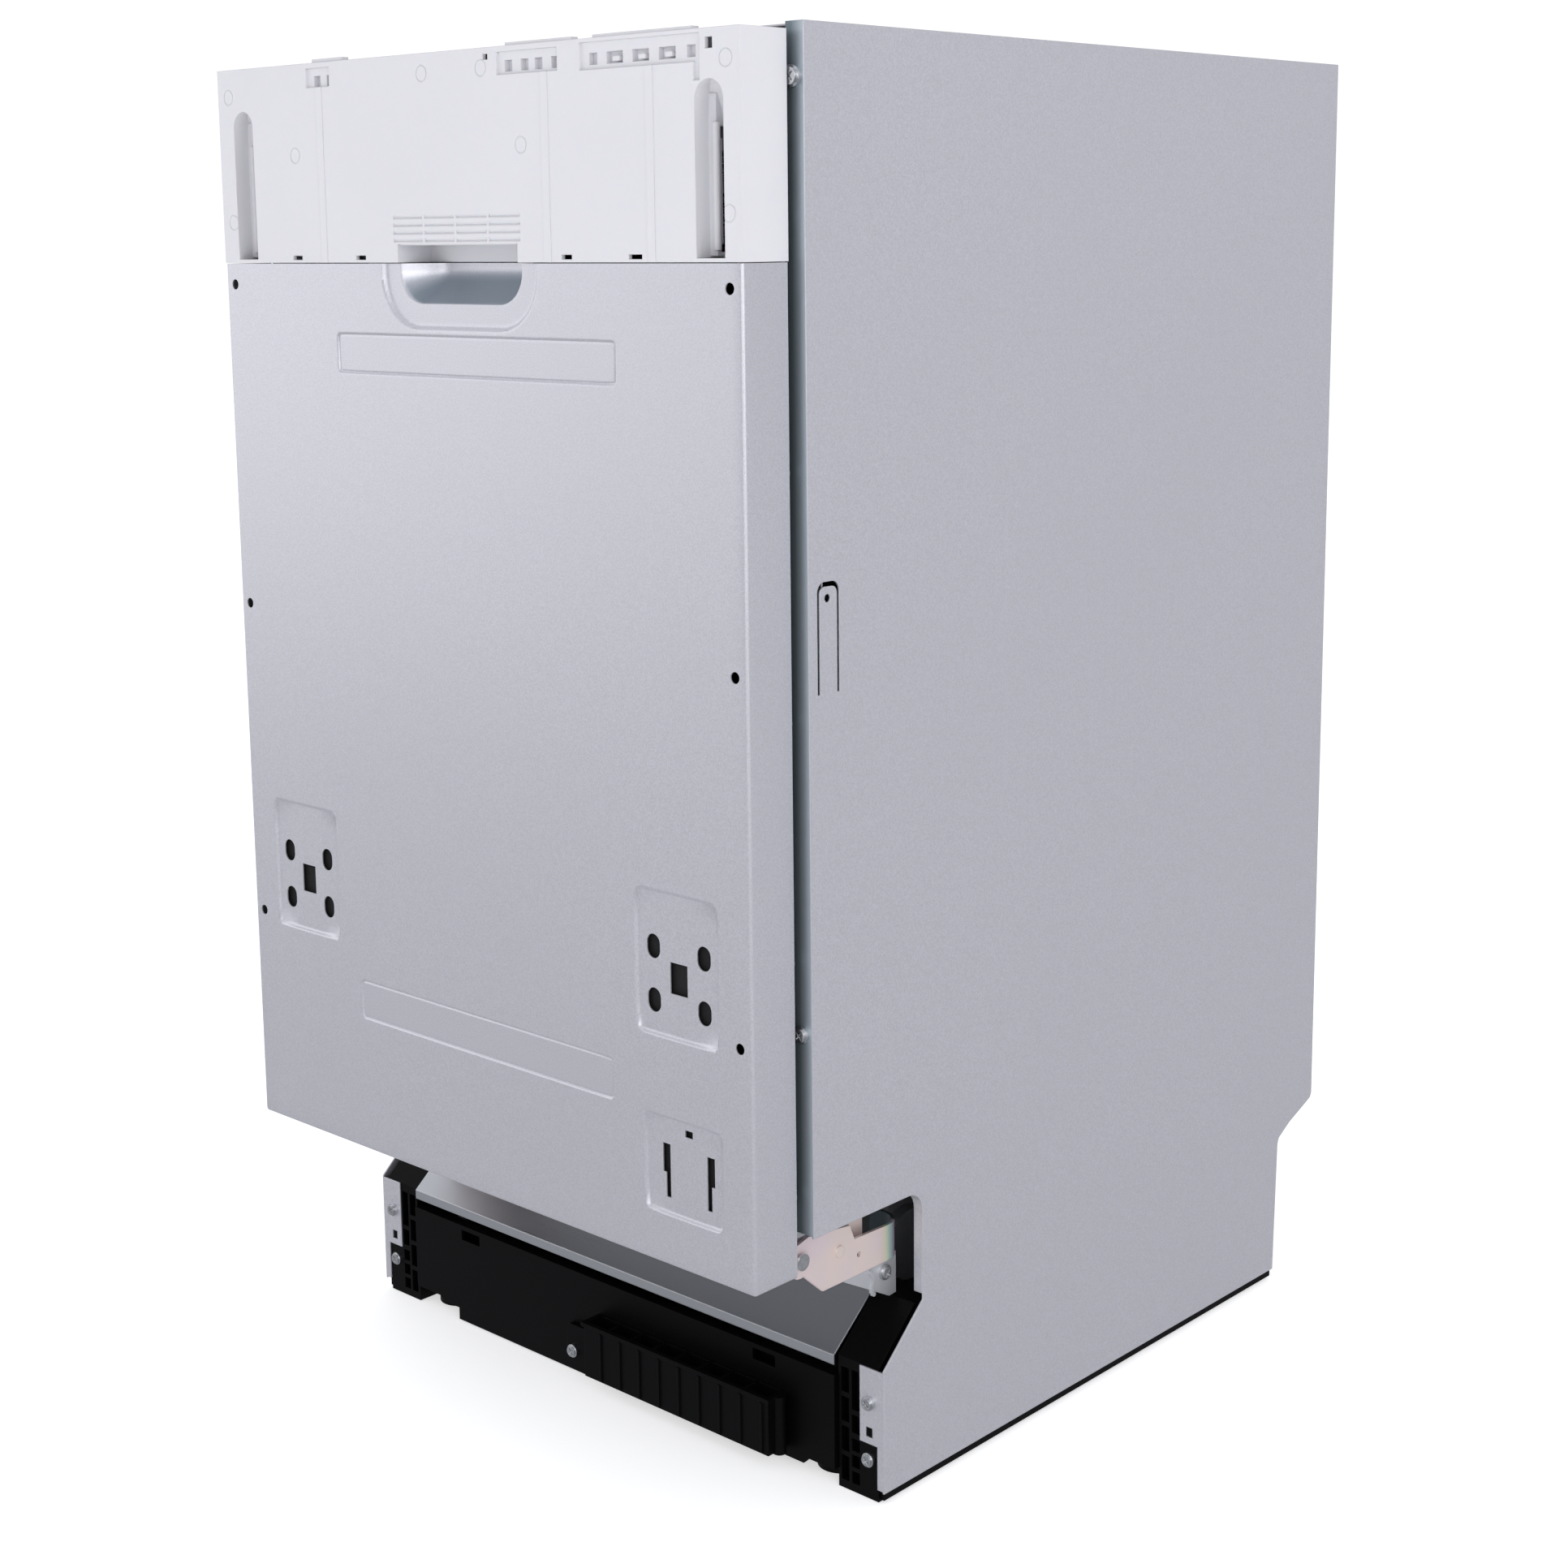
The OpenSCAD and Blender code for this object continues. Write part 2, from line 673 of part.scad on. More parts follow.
module control_panel() color(white) placed() {
    y0 = -door_proud;
    z0 = door_split + 0.5;
    slots = [[-193.5, 19], [196, 20]];
    difference() {
        union() {
            front_cut(y0, y0 + 2.5) translate([-half_door, z0])
                square([door_w, door_top - z0]);
            both_sides()
                block([half_door - 2.5, y0, z0], [half_door, -5.2, door_top]);
            block([-half_door, y0, door_top - 2.5], [half_door, -22, door_top]);
            // raised lips along the top edge
            for (q = [[-125, -97, 2], [44, 96, 1.6], [112, 184, 1.6]])
                block([q[0], y0 + 1.2, door_top - 1], [q[1], y0 + 6, door_top + q[2]]);
            // faint vertical ribs
            for (x = [-119, 74.5, 153.4])
                translate([x, y0, z0]) linear_extrude(797 - z0)
                    polygon([[-3.6, 0.1], [-1.8, -0.35], [3.6, -0.35], [3.6, 1], [-3.6, 1]]);
            // pockets behind the clip recesses
            for (q = [[-131, -107], [37, 87], [102, 191]])
                block([q[0], y0 + 1, 792], [q[1], y0 + 9, door_top - 1]);
        }
        for (q = slots)
            front_cut(y0 - 1, y0 + 3) {
                translate([q[0] - q[1] / 2, 699]) square([q[1], 77.5]);
                translate([q[0], 776.5]) circle(q[1] / 2);
            }
        // clip recesses with their catches
        for (q = [[-130, -108, 797, 808], [38, 86, 796, 808], [103, 190, 795, 809]])
            block([q[0], y0 - 1, q[2]], [q[1], y0 + 1.6, q[3]]);
        for (q = [[-124, 6], [-112, 4], [43, 6], [56, 6], [67, 6], [80, 5],
                  [109, 6], [122, 12], [141, 12], [160, 12], [180, 6]])
            block([q[0], y0 - 1, 797.5], [q[0] + q[1], y0 + 5, 803.5]);
        block([185.5, y0 - 1, 786], [190, y0 + 1.6, 800]);
        block([194, y0 - 1, 801], [199, y0 + 4, 806.5]);
        block([27, y0 - 1, 804.5], [31, y0 + 4, 807.5]);
        // louvre over the grip
        for (i = [0:3], j = [0:3])
            translate([0, y0, 708.2 + j * 4.3]) rotate([35, 0, 0])
                block([-54 + i * 27.3, -1.5, 0], [-28.4 + i * 27.3, 1.4, 2.6]);
        // grip cut-out
        block([-51, y0 - 1, z0 - 1], [51, y0 + 3, 707]);
        // notches in the lower edge
        for (q = [[-149, 9], [-89, 9], [86, 8], [137, 10]])
            block([q[0], y0 - 1, 698.6], [q[0] + q[1], y0 + 3, 701]);
        // witness rings of the moulding
        for (p = [[-207, 795], [-25, 800], [25, 800.5], [208, 796], [-143, 759], [56, 759],
                  [-207, 721], [209, 721]])
            difference() {
                rod_y(y0 - 1, y0 + 0.2, p[0], p[1], 4.6);
                rod_y(y0 - 2, y0 + 1, p[0], p[1], 4.1);
            }
    }
    for (q = slots)
        hook_channel(q[0], q[1]);
    // roof over the grip
    block([-53, y0 + 2, 706.5], [53, -12, 708.5]);
    for (x = [-53, 51])
        block([x, y0 + 2, z0], [x + 2, -12, 707]);
    block([-53, -14, z0], [53, -12, 708]);
    // small hooks in the wide catches
    for (x = [127, 146, 165])
        block([x, y0 + 1, 798.5], [x + 5, y0 + 8.5, 801]);
}

module inner_door() color(bright) placed() difference() {
    union() {
        difference() {
            block([-214.8, door_back, 177], [214.8, door_back + 1, 784.5]);
            front_cut(-8, -2) rounded(-183, 183, 201, 771, 16);
        }
        difference() {
            front_cut(door_back, pan_y) rounded(-184, 184, 200, 772, 17);
            front_cut(door_back - 1, pan_y - 1) rounded(-183, 183, 201, 771, 16);
        }
        // pressed wheel tracks
        both_sides() difference() {
            block([167, pan_y - 1, 222], [181, track_y, 430]);
            block([168, pan_y - 2, 223], [180, track_y - 1, 429]);
        }
    }
    block([-92, 0, 433], [56, 14, 547]);
    both_sides() for (z = [200:130:720])
        rod_y(-8, -3, 211, z, 2);
}

module control_strip() color(grey) placed() difference() {
    block([-214, -21.5, 785], [214, -5.6, door_top]);
    block([-212, -19.5, 784], [212, -7.6, door_top - 2]);
    for (x = button_x)
        block([x - 7, -17.5, 800], [x + 7, -10, door_top + 1]);
    block([-14, -10, 792], [14, -4, 803]);
    // seat of the display window
    block([34, -18, door_top - 0.8], [78, -9, door_top + 1]);
}

module control_board() color([0.05, 0.25, 0.12]) placed() {
    block([28, -19, 790], [196, -8, 791.6]);
    for (x = button_x)
        block([x - 3, -16.5, 791.6], [x + 3, -10.5, 796]);
    block([40, -17, 791.6], [74, -10, 800]);
    block([182, -17, 786], [192, -10, 790]);
}

module dispenser_body() color(grey) placed() difference() {
    union() {
        front_cut(pan_y, pan_y + 2) rounded(-102, 66, 424, 556, 8);
        block([-91, -3, 434], [55, pan_y, 546]);
    }
    // detergent chamber, rinse aid filler and a shallow tray
    front_cut(-1, 15) rounded(-88, -46, 452, 528, 6);
    rod_y(2, 15, 35, 480, 11);
    front_cut(pan_y - 1, 15) rounded(-38, 12, 438, 446, 3);
}

module door_screws() color(bright) placed() both_sides() for (z = [200:130:720]) {
    rod_y(door_back + 1, -2.6, 211, z, 3.7);
    rod_y(-14, door_back + 1, 211, z, 1.7);
}

module door_felt() color(black) placed() difference() {
    block([-198, -34, 166], [198, -31, 690]);
    block([-60, -36, 655], [60, -30, 700]);
}

// ---- moving parts on the door ----

module latch_bolt() color(bright) placed() difference() {
    union() {
        block([-4, -12, 787], [4, -8.2, 795.6]);
        block([-8, -15, 786], [8, -8.2, 789]);
    }
    rod_x(-9, 9, -13.5, 787.5, 0.8);
}

module detergent_lid() color(grey) placed() {
    front_cut(pan_y + 2.3, pan_y + 4.5) rounded(-93, -41, 446, 534, 6);
    for (z = [470:10:510])
        block([-50, pan_y + 4.5, z], [-44, pan_y + 6, z + 3]);
}

module rinse_aid_cap() color(grey) placed() {
    rod_y(pan_y + 2.3, pan_y + 5, 35, 480, 14);
    rod_y(pan_y - 6, pan_y + 2.3, 35, 480, 10.8);
    block([33, pan_y + 5, 469], [37, pan_y + 8, 491]);
}

module button(x) placed() {
    block([x - 6.6, -17.1, 803], [x + 6.6, -10.4, door_top + 0.8]);
    block([x - 8.5, -18.6, 804], [x + 8.5, -8.9, 806]);
    block([x - 1.5, -15, 798.2], [x + 1.5, -12, 803]);
}

module power_button() color(bright) button(button_x[0]);

module program_button() color(bright) button(button_x[1]);

module options_button() color(bright) button(button_x[2]);

module start_button() color(bright) button(button_x[3]);

// ---- racks ----

// one flat grille of the welded wire baskets, lying in X and Z, with its lower left corner at 0
module grille(w, h, nx, levels) {
    for (i = [0:nx])
        block([i * (w - wire) / nx, 0, 0], [i * (w - wire) / nx + wire, wire, h]);
    for (z = levels)
        block([0, 0, z], [w, wire, z + wire]);
}

// open wire basket of five grilles: half width, height from z0 to z1, lengthwise and cross wires
module wire_basket(hx, z0, z1, nx, ny) {
    h = z1 - z0;
    levels = [0, h / 2, h - wire];
    inset = wire + weld;
    inner_l = rack_back - rack_front - 2 * inset;
    for (y = [rack_front, rack_back - wire])
        translate([-hx, y, z0]) grille(2 * hx, h, nx, levels);
    for (x = [-hx + wire, hx])
        translate([x, rack_front + inset, z0]) rotate([0, 0, 90]) grille(inner_l, h, ny - 2, levels);
    translate([-hx + inset, rack_back - inset, z0]) rotate([90, 0, 0])
        grille(2 * (hx - inset), inner_l, nx - 2,
            [for (j = [0:ny - 1]) j * (inner_l - wire) / (ny - 1)]);
}

module lower_rack() color(grey) placed() {
    wire_basket(163, 222, 360, 10, 10);
    // fixed rows of tines
    for (y = [150, 200]) {
        block([-150, y, 226 + weld], [20, y + wire, 230]);
        for (x = [-146:31:10])
            block([x, y, 226 + weld], [x + wire, y + wire, 292]);
    }
    // wheel carriers
    both_sides() for (y = [115, 400]) {
        block([163 + weld, y - 9, wheel_z - 7], [165.5, y + 9, 234]);
        rod_x(165.5, 178.6, y, wheel_z, 2.5);
        rod_x(178.6, 180.2, y, wheel_z, 4.4);
    }
    // bearing blocks of the folding row
    for (x = [-159 + weld, 30])
        difference() {
            block([x, 325, 226 + weld], [x + 5, 339, 238]);
            rod_x(x - 1, x + 6, 332, 231, 2 + fit);
        }
}

module folding_tines() color(bright) placed() {
    rod_x(-158, 37, 332, 231, 2);
    for (x = [-146:31:20])
        block([x, 330, 231], [x + 4, 334, 300]);
}

module wheel_pair(y) placed() both_sides() translate([168, y, wheel_z]) rotate([0, 90, 0]) difference() {
    union() {
        cylinder(r = wheel_r, h = 8);
        cylinder(r = 6, h = 10);
    }
    translate([0, 0, 6]) difference() {
        cylinder(r = wheel_r - 3, h = 5);
        cylinder(r = 6, h = 6);
    }
    translate([0, 0, -1]) cylinder(r = 2.5 + fit, h = 12);
    for (a = [0:72:288])
        rotate([0, 0, a]) translate([9, 0, -1]) cylinder(r = 1.8, h = 10);
}

module front_wheels() color(grey) wheel_pair(115);

module rear_wheels() color(grey) wheel_pair(400);

// cutlery basket snapped together from plates: two ends, two windowed sides, base, dividers
module cutlery_basket() color(grey) placed() {
    for (y = [62, 249])
        block([72, y, 227], [152, y + 3, 340]);
    for (x = [72, 149])
        difference() {
            block([x, 65 + weld, 227], [x + 3, 249 - weld, 340]);
            for (i = [0:3], j = [0:2])
                block([x - 1, 70 + i * 47, 240 + j * 32], [x + 4, 103 + i * 47, 262 + j * 32]);
        }
    difference() {
        block([75 + weld, 65 + weld, 227], [149 - weld, 249 - weld, 230]);
        for (i = [0:3], j = [0:1])
            block([82 + j * 34, 72 + i * 47, 226], [106 + j * 34, 98 + i * 47, 231]);
    }
    for (i = [0:2])
        block([75 + weld, 108 + i * 47, 230 + weld], [149 - weld, 112 + i * 47, 340]);
}

module upper_rack() color(grey) placed() {
    wire_basket(170, 490, 610, 10, 10);
    // runners
    both_sides() {
        block([184.5, 60, rail_z - 4], [190.4, 450, rail_z + 4]);
        for (y = [90, 250, 410])
            block([170 + weld, y, rail_z - 3], [185, y + 6, rail_z + 1]);
    }
    // hub of the upper spray arm
    difference() {
        union() {
            block([-24, hub[1] - 24, 487.5], [24, hub[1] + 24, 490 - weld]);
            rod_z(460.5, 489, hub[0], hub[1], 6);
            rod_z(458, 460.5, hub[0], hub[1], 9);
            block([-8, hub[1], 486.5], [8, 466, 490 - weld]);
        }
        rod_z(457, 487, hub[0], hub[1], 4);
    }
}

module upper_slide_members() color(bright) placed() both_sides() difference() {
    block([191 + slack, 40, rail_z - 6], [199.5, 470, rail_z + 6]);
    for (y = [70, 255, 440])
        rod_x(190, 196, y, rail_z, 3.5);
}

// spray arm: flat hollow-looking bar with jets, hub and running bore
module spray_arm(z0, bore, hub_r, hub_z) difference() {
    union() {
        block([-arm_l, hub[1] - 15, z0], [arm_l, hub[1] + 15, z0 + 10]);
        for (s = [-1, 1])
            rod_z(z0, z0 + 10, s * arm_l, hub[1], 15);
        rod_z(hub_z[0], hub_z[1], hub[0], hub[1], hub_r);
    }
    rod_z(hub_z[0] - 1, hub_z[1] + 1, hub[0], hub[1], bore);
    for (s = [-1, 1], i = [1:4])
        rod_z(z0 + 8, z0 + 11, s * (20 + i * 30), hub[1] + s * (i % 2 == 0 ? 6 : -6), 1.8);
}

module upper_spray_arm() color(grey) placed() spray_arm(466, 6 + fit, 14, [461, 484]);

module lower_spray_arm() color(grey) placed() spray_arm(199, 9 + fit, 17, [195.5, 212.6]);

module filter_cup() color(grey) placed() {
    difference() {
        union() {
            rod_z(118, tub_z + 2, well[0], well[1], 32);
            rod_z(tub_z + 1.6, tub_z + 4, well[0], well[1], 37);
        }
        rod_z(121, tub_z + 5, well[0], well[1], 30);
        // windows of the mesh cage
        for (a = [0:45:315], k = [0:2])
            translate([well[0], well[1], 126 + k * 18]) rotate([0, 0, a])
                block([25, -8, 0], [36, 8, 14]);
    }
    block([well[0] - 31, well[1] - 2, tub_z], [well[0] + 31, well[1] + 2, tub_z + 10]);
}

module salt_cap() color(grey) placed() {
    rod_z(tub_z + 1.4, tub_z + 7, salt[0], salt[1], 24);
    rod_z(tub_z - 10, tub_z + 1.4, salt[0], salt[1], 16);
    block([salt[0] - 20, salt[1] - 2.5, tub_z + 7], [salt[0] + 20, salt[1] + 2.5, tub_z + 11]);
}

// ---- feet ----

module foot(p) placed() {
    rod_z(0, 4, p[0], p[1], 14);
    rod_z(4, 7.6, p[0], p[1], 9.5);
    rod_z(7.6, 48, p[0], p[1], 4);
}

module front_foot_left() color(black) foot(foot_xy[0]);

module front_foot_right() color(black) foot(foot_xy[1]);

module rear_foot() color(black) foot(foot_xy[2]);

side_panel_left();
side_panel_right();
rear_panel();
top_rails();
base_tray();
corner_post_left();
corner_post_right();
kick_panel();
kick_pocket();
drip_plate();
hinge_bracket_left();
hinge_bracket_right();
hinge_pins();
tub();
door_gasket();
upper_rail_channels();
sump();
wash_pump();
drain_pump();
water_softener();
air_break_tank();
inlet_valve();
drain_outlet();
cable_gland();
flat_filter();
door_striker();
cabinet_screws();
riser_pipe();
door_springs();
door_skin();
control_panel();
inner_door();
hinge_arm_left();
hinge_arm_right();
control_strip();
control_board();
dispenser_body();
door_screws();
door_felt();
latch_bolt();
detergent_lid();
rinse_aid_cap();
power_button();
program_button();
options_button();
start_button();
upper_rack();
upper_slide_members();
upper_spray_arm();
lower_rack();
front_wheels();
rear_wheels();
folding_tines();
cutlery_basket();
lower_spray_arm();
filter_cup();
salt_cap();
front_foot_left();
front_foot_right();
rear_foot();
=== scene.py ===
import json
import math

import bpy
import numpy as np
from mathutils import Matrix, Vector


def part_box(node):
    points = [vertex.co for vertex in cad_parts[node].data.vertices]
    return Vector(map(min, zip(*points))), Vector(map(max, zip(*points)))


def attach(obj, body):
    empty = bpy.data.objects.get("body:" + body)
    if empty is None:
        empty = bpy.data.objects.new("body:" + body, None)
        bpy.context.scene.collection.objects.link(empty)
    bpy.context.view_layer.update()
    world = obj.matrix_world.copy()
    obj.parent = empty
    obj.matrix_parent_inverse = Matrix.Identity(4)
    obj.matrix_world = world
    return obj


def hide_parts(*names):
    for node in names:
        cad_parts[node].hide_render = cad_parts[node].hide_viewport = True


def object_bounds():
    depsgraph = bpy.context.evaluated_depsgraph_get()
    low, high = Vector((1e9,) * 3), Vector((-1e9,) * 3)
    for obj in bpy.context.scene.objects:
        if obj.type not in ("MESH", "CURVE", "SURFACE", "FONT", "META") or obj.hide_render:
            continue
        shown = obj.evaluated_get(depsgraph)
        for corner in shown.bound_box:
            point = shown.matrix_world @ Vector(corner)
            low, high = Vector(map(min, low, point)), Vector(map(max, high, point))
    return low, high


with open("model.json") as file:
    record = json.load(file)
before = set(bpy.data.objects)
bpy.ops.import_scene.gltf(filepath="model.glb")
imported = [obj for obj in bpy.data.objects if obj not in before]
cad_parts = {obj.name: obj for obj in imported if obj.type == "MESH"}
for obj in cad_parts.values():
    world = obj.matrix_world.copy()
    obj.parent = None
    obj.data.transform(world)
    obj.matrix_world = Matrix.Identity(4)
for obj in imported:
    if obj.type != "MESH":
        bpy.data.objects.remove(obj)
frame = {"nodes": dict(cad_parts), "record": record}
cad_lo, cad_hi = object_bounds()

MM = 0.001
NODES = frame["nodes"]
scene = bpy.context.scene

# The cabinet's front flange is the zero of all depths below, in millimetres.
FLANGE_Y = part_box("side_panel_right")[0][1]


def at(x, y, z):
    """A point given in millimetres, with its depth counted from the cabinet's front flange."""
    return Vector((x * MM, FLANGE_Y + y * MM, z * MM))


def span(node):
    """A CAD node's lowest and highest corner in the same millimetres."""
    lo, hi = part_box(node)
    return [np.array([c[0] / MM, (c[1] - FLANGE_Y) / MM, c[2] / MM]) for c in (lo, hi)]


# ---------------------------------------------------------------- camera

CAMERA_AT = at(1062.8, -927.4, 709.2)
CAMERA_YAW = math.radians(42.707)
CAMERA_PITCH = math.radians(9.552)
CAMERA_ROLL = math.radians(-0.596)
CAMERA_LENS = 56.48
CAMERA_SHIFT_Y = -0.085


def make_camera():
    data = bpy.data.cameras.new("camera")
    data.sensor_width = 36
    data.lens = CAMERA_LENS
    data.shift_y = CAMERA_SHIFT_Y
    data.clip_end = 50
    camera = bpy.data.objects.new("camera", data)
    scene.collection.objects.link(camera)
    cy, sy = math.cos(CAMERA_YAW), math.sin(CAMERA_YAW)
    cp, sp = math.cos(CAMERA_PITCH), math.sin(CAMERA_PITCH)
    forward = Vector((-sy * cp, cy * cp, -sp))
    right = Vector((cy, sy, 0))
    up = right.cross(forward)
    cr, sr = math.cos(CAMERA_ROLL), math.sin(CAMERA_ROLL)
    x_axis = right * cr + up * sr
    y_axis = up * cr - right * sr
    turn = Matrix((x_axis, y_axis, -forward)).transposed()
    camera.matrix_world = Matrix.Translation(CAMERA_AT) @ turn.to_4x4()
    scene.camera = camera


make_camera()


# ---------------------------------------------------------------- materials

class Graph:
    """A Principled material and short calls that add its nodes."""

    def __init__(self, name, colour, rough, metal=0.0, **fixed):
        self.material = bpy.data.materials.new(name)
        self.material.use_nodes = True
        self.tree = self.material.node_tree
        self.shader = self.tree.nodes["Principled BSDF"]
        self.shader.inputs["Metallic"].default_value = metal
        self.shader.inputs["Roughness"].default_value = rough
        self.shader.inputs["Base Color"].default_value = (*colour, 1)
        for key, value in fixed.items():
            self.shader.inputs[key.replace("_", " ")].default_value = value
        self.where = self.add("ShaderNodeTexCoord").outputs["Object"]

    def add(self, kind, **settings):
        node = self.tree.nodes.new(kind)
        for key, value in settings.items():
            setattr(node, key, value)
        return node

    def link(self, source, target):
        self.tree.links.new(source, target)

    def stretch(self, scale):
        mapping = self.add("ShaderNodeMapping")
        mapping.inputs["Scale"].default_value = scale
        self.link(self.where, mapping.inputs["Vector"])
        return mapping.outputs["Vector"]

    def noise(self, scale, detail=2.0, rough=0.5, stretch=None):
        node = self.add("ShaderNodeTexNoise")
        node.inputs["Scale"].default_value = scale
        node.inputs["Detail"].default_value = detail
        node.inputs["Roughness"].default_value = rough
        self.link(self.stretch(stretch) if stretch else self.where, node.inputs["Vector"])
        return node.outputs["Fac"]

    def cells(self, scale):
        node = self.add("ShaderNodeTexVoronoi")
        node.inputs["Scale"].default_value = scale
        self.link(self.where, node.inputs["Vector"])
        return node.outputs["Distance"]

    def ramp(self, value, low, high, to_low=0.0, to_high=1.0):
        node = self.add("ShaderNodeMapRange")
        ends = {"From Min": low, "From Max": high, "To Min": to_low, "To Max": to_high}
        for key, number in ends.items():
            node.inputs[key].default_value = number
        self.link(value, node.inputs["Value"])
        return node.outputs["Result"]

    def maths(self, operation, a, b):
        node = self.add("ShaderNodeMath", operation=operation)
        for slot, value in enumerate((a, b)):
            if isinstance(value, (int, float)):
                node.inputs[slot].default_value = value
            else:
                self.link(value, node.inputs[slot])
        return node.outputs["Value"]

    def mix(self, factor, a, b):
        node = self.add("ShaderNodeMix", data_type="RGBA")
        self.link(factor, node.inputs["Factor"])
        for key, value in (("A", a), ("B", b)):
            socket = [s for s in node.inputs if s.name == key and s.type == "RGBA"][0]
            if isinstance(value, tuple):
                socket.default_value = (*value, 1)
            else:
                self.link(value, socket)
        return [s for s in node.outputs if s.type == "RGBA"][0]

    def axis(self, vector, letter):
        """One coordinate of a vector."""
        node = self.add("ShaderNodeSeparateXYZ")
        self.link(vector, node.inputs["Vector"])
        return node.outputs[letter]

    def facing(self, letter):
        """One part of the surface's own direction."""
        return self.axis(self.add("ShaderNodeNewGeometry").outputs["Normal"], letter)

    def colour(self, value):
        self.link(value, self.shader.inputs["Base Color"])

    def rough(self, value):
        self.link(value, self.shader.inputs["Roughness"])

    def soft_edges(self, radius):
        """The surface's normal, rounded over sharp edges."""
        bevel = self.add("ShaderNodeBevel", samples=4)
        bevel.inputs["Radius"].default_value = radius
        return bevel.outputs["Normal"]

    def edge_mask(self, normal):
        """1 along the edges, where the rounded normal leaves the flat one."""
        flat = self.add("ShaderNodeNewGeometry").outputs["Normal"]
        dot = self.add("ShaderNodeVectorMath", operation="DOT_PRODUCT")
        self.link(normal, dot.inputs[0])
        self.link(flat, dot.inputs[1])
        return self.ramp(dot.outputs["Value"], 0.995, 0.80)

    def bump(self, heights, normal=None):
        """heights: pairs of (value, depth in metres), added one on another."""
        for value, depth in heights:
            node = self.add("ShaderNodeBump")
            node.inputs["Strength"].default_value = 1.0
            node.inputs["Distance"].default_value = depth
            self.link(value, node.inputs["Height"])
            if normal is not None:
                self.link(normal, node.inputs["Normal"])
            normal = node.outputs["Normal"]
        self.link(normal, self.shader.inputs["Normal"])


def shade(colour, factor):
    """A lighter or darker version of a colour."""
    return tuple(min(1.0, c * factor) for c in colour)


def painted_steel(name, colour, rough=0.42, metal=0.72, edge=0.0010, painted_shade=None):
    """Aluminium-grey sheet with a fine sparkle and a painted highlight on its edges; the shade
    function, if given, returns a mask and the colour of the painted shade it blends to.
    """
    g = Graph(name, colour, rough, metal, Specular_IOR_Level=0.5)
    grain = g.noise(1100, 2.5, 0.65)
    flake = g.cells(1500)
    cloud = g.noise(5, 2)
    speckle = g.mix(g.ramp(grain, 0.36, 0.64), shade(colour, 0.90), shade(colour, 1.06))
    sparkle = g.mix(g.ramp(flake, 0.10, 0.0), speckle, shade(colour, 1.18))
    soft = g.mix(g.ramp(cloud, 0.35, 0.65, 0.0, 0.25), sparkle, shade(colour, 0.95))
    normal = g.soft_edges(edge)
    # Painted highlight: the edges are lightened where the rounded normal leaves the flat one.
    base = g.mix(g.edge_mask(normal), soft, shade(colour, 1.12))
    # Painted shade: where the mask is on, the colour blends to the painted shade's colour.
    if painted_shade:
        mask, shade_colour = painted_shade(g)
        base = g.mix(mask, base, shade_colour)
    g.colour(base)
    g.rough(g.ramp(grain, 0.3, 0.7, rough - 0.05, rough + 0.07))
    g.bump([(grain, 0.00004), (cloud, 0.0001)], normal)
    return g.material


# Where the painted shades begin and are full, in millimetres.
GAP_FROM_TUB = (215.5, 222.5)
GAP_DEPTH = (20, 8)
BOWL_DEPTH = (2.2, 4)
BOWL_HALF_WIDTH = (60, 56)
BOWL_FOOT = (655, 665)


def depths(pair, start=0):
    """Two depths in millimetres as Y in metres."""
    return [at(0, start + depth, 0).y for depth in pair]


def metres(pair):
    return [value * MM for value in pair]


def gap_painted_shade(g):
    """Painted shade on the front flange, which lies in the gap behind the door: darker towards the
    tub.
    """
    forward = g.maths("MULTIPLY", g.facing("Y"), -1)
    across = g.maths("ABSOLUTE", g.axis(g.where, "X"), 0)
    outward = g.ramp(across, *metres(GAP_FROM_TUB))
    painted_shade = g.mix(outward, (0.22, 0.27, 0.30), (0.55, 0.61, 0.66))
    near_door = g.ramp(g.axis(g.where, "Y"), *depths(GAP_DEPTH))
    return g.maths("MULTIPLY", g.ramp(forward, 0.8, 0.97), near_door), painted_shade


def bowl_painted_shade(g):
    """Painted shade for the wall of the grip that faces up, which lies in the shade of the housing
    above it.
    """
    across = g.maths("ABSOLUTE", g.axis(g.where, "X"), 0)
    deep = g.ramp(g.axis(g.where, "Y"), *depths(BOWL_DEPTH, SKIN_LO[1]))
    within = g.maths("MULTIPLY", deep, g.ramp(across, *metres(BOWL_HALF_WIDTH)))
    above = g.ramp(g.axis(g.where, "Z"), *metres(BOWL_FOOT))
    upward = g.maths("MULTIPLY", g.ramp(g.facing("Z"), 0.1, 0.7), above)
    return g.maths("MULTIPLY", within, upward), (0.34, 0.40, 0.45)


def moulded(name, colour, rough, grain=900, depth=0.00002, wear_and_highlight=1.25, edge=0.0006,
            mottle=0.055, **fixed):
    """Moulded plastic: fine skin grain, slow mottling, and edges lightened partly by dust and wear
    and partly as a painted highlight.
    """
    g = Graph(name, colour, rough, **fixed)
    fine = g.noise(grain, 3, 0.6)
    slow = g.noise(14, 3)
    base = g.mix(g.ramp(slow, 0.3, 0.7), shade(colour, 1 - mottle), shade(colour, 1 + mottle))
    normal = g.soft_edges(edge)
    # Edges lightened: partly dust and wear, partly a painted highlight.
    g.colour(g.mix(g.ramp(g.edge_mask(normal), 0, 1, 0, 0.6), base, shade(colour, wear_and_highlight)))
    both = g.maths("ADD", g.maths("MULTIPLY", fine, 0.6), g.maths("MULTIPLY", slow, 0.4))
    g.rough(g.ramp(both, 0.3, 0.7, rough - 0.06, rough + 0.08))
    g.bump([(fine, depth)], normal)
    return g.material


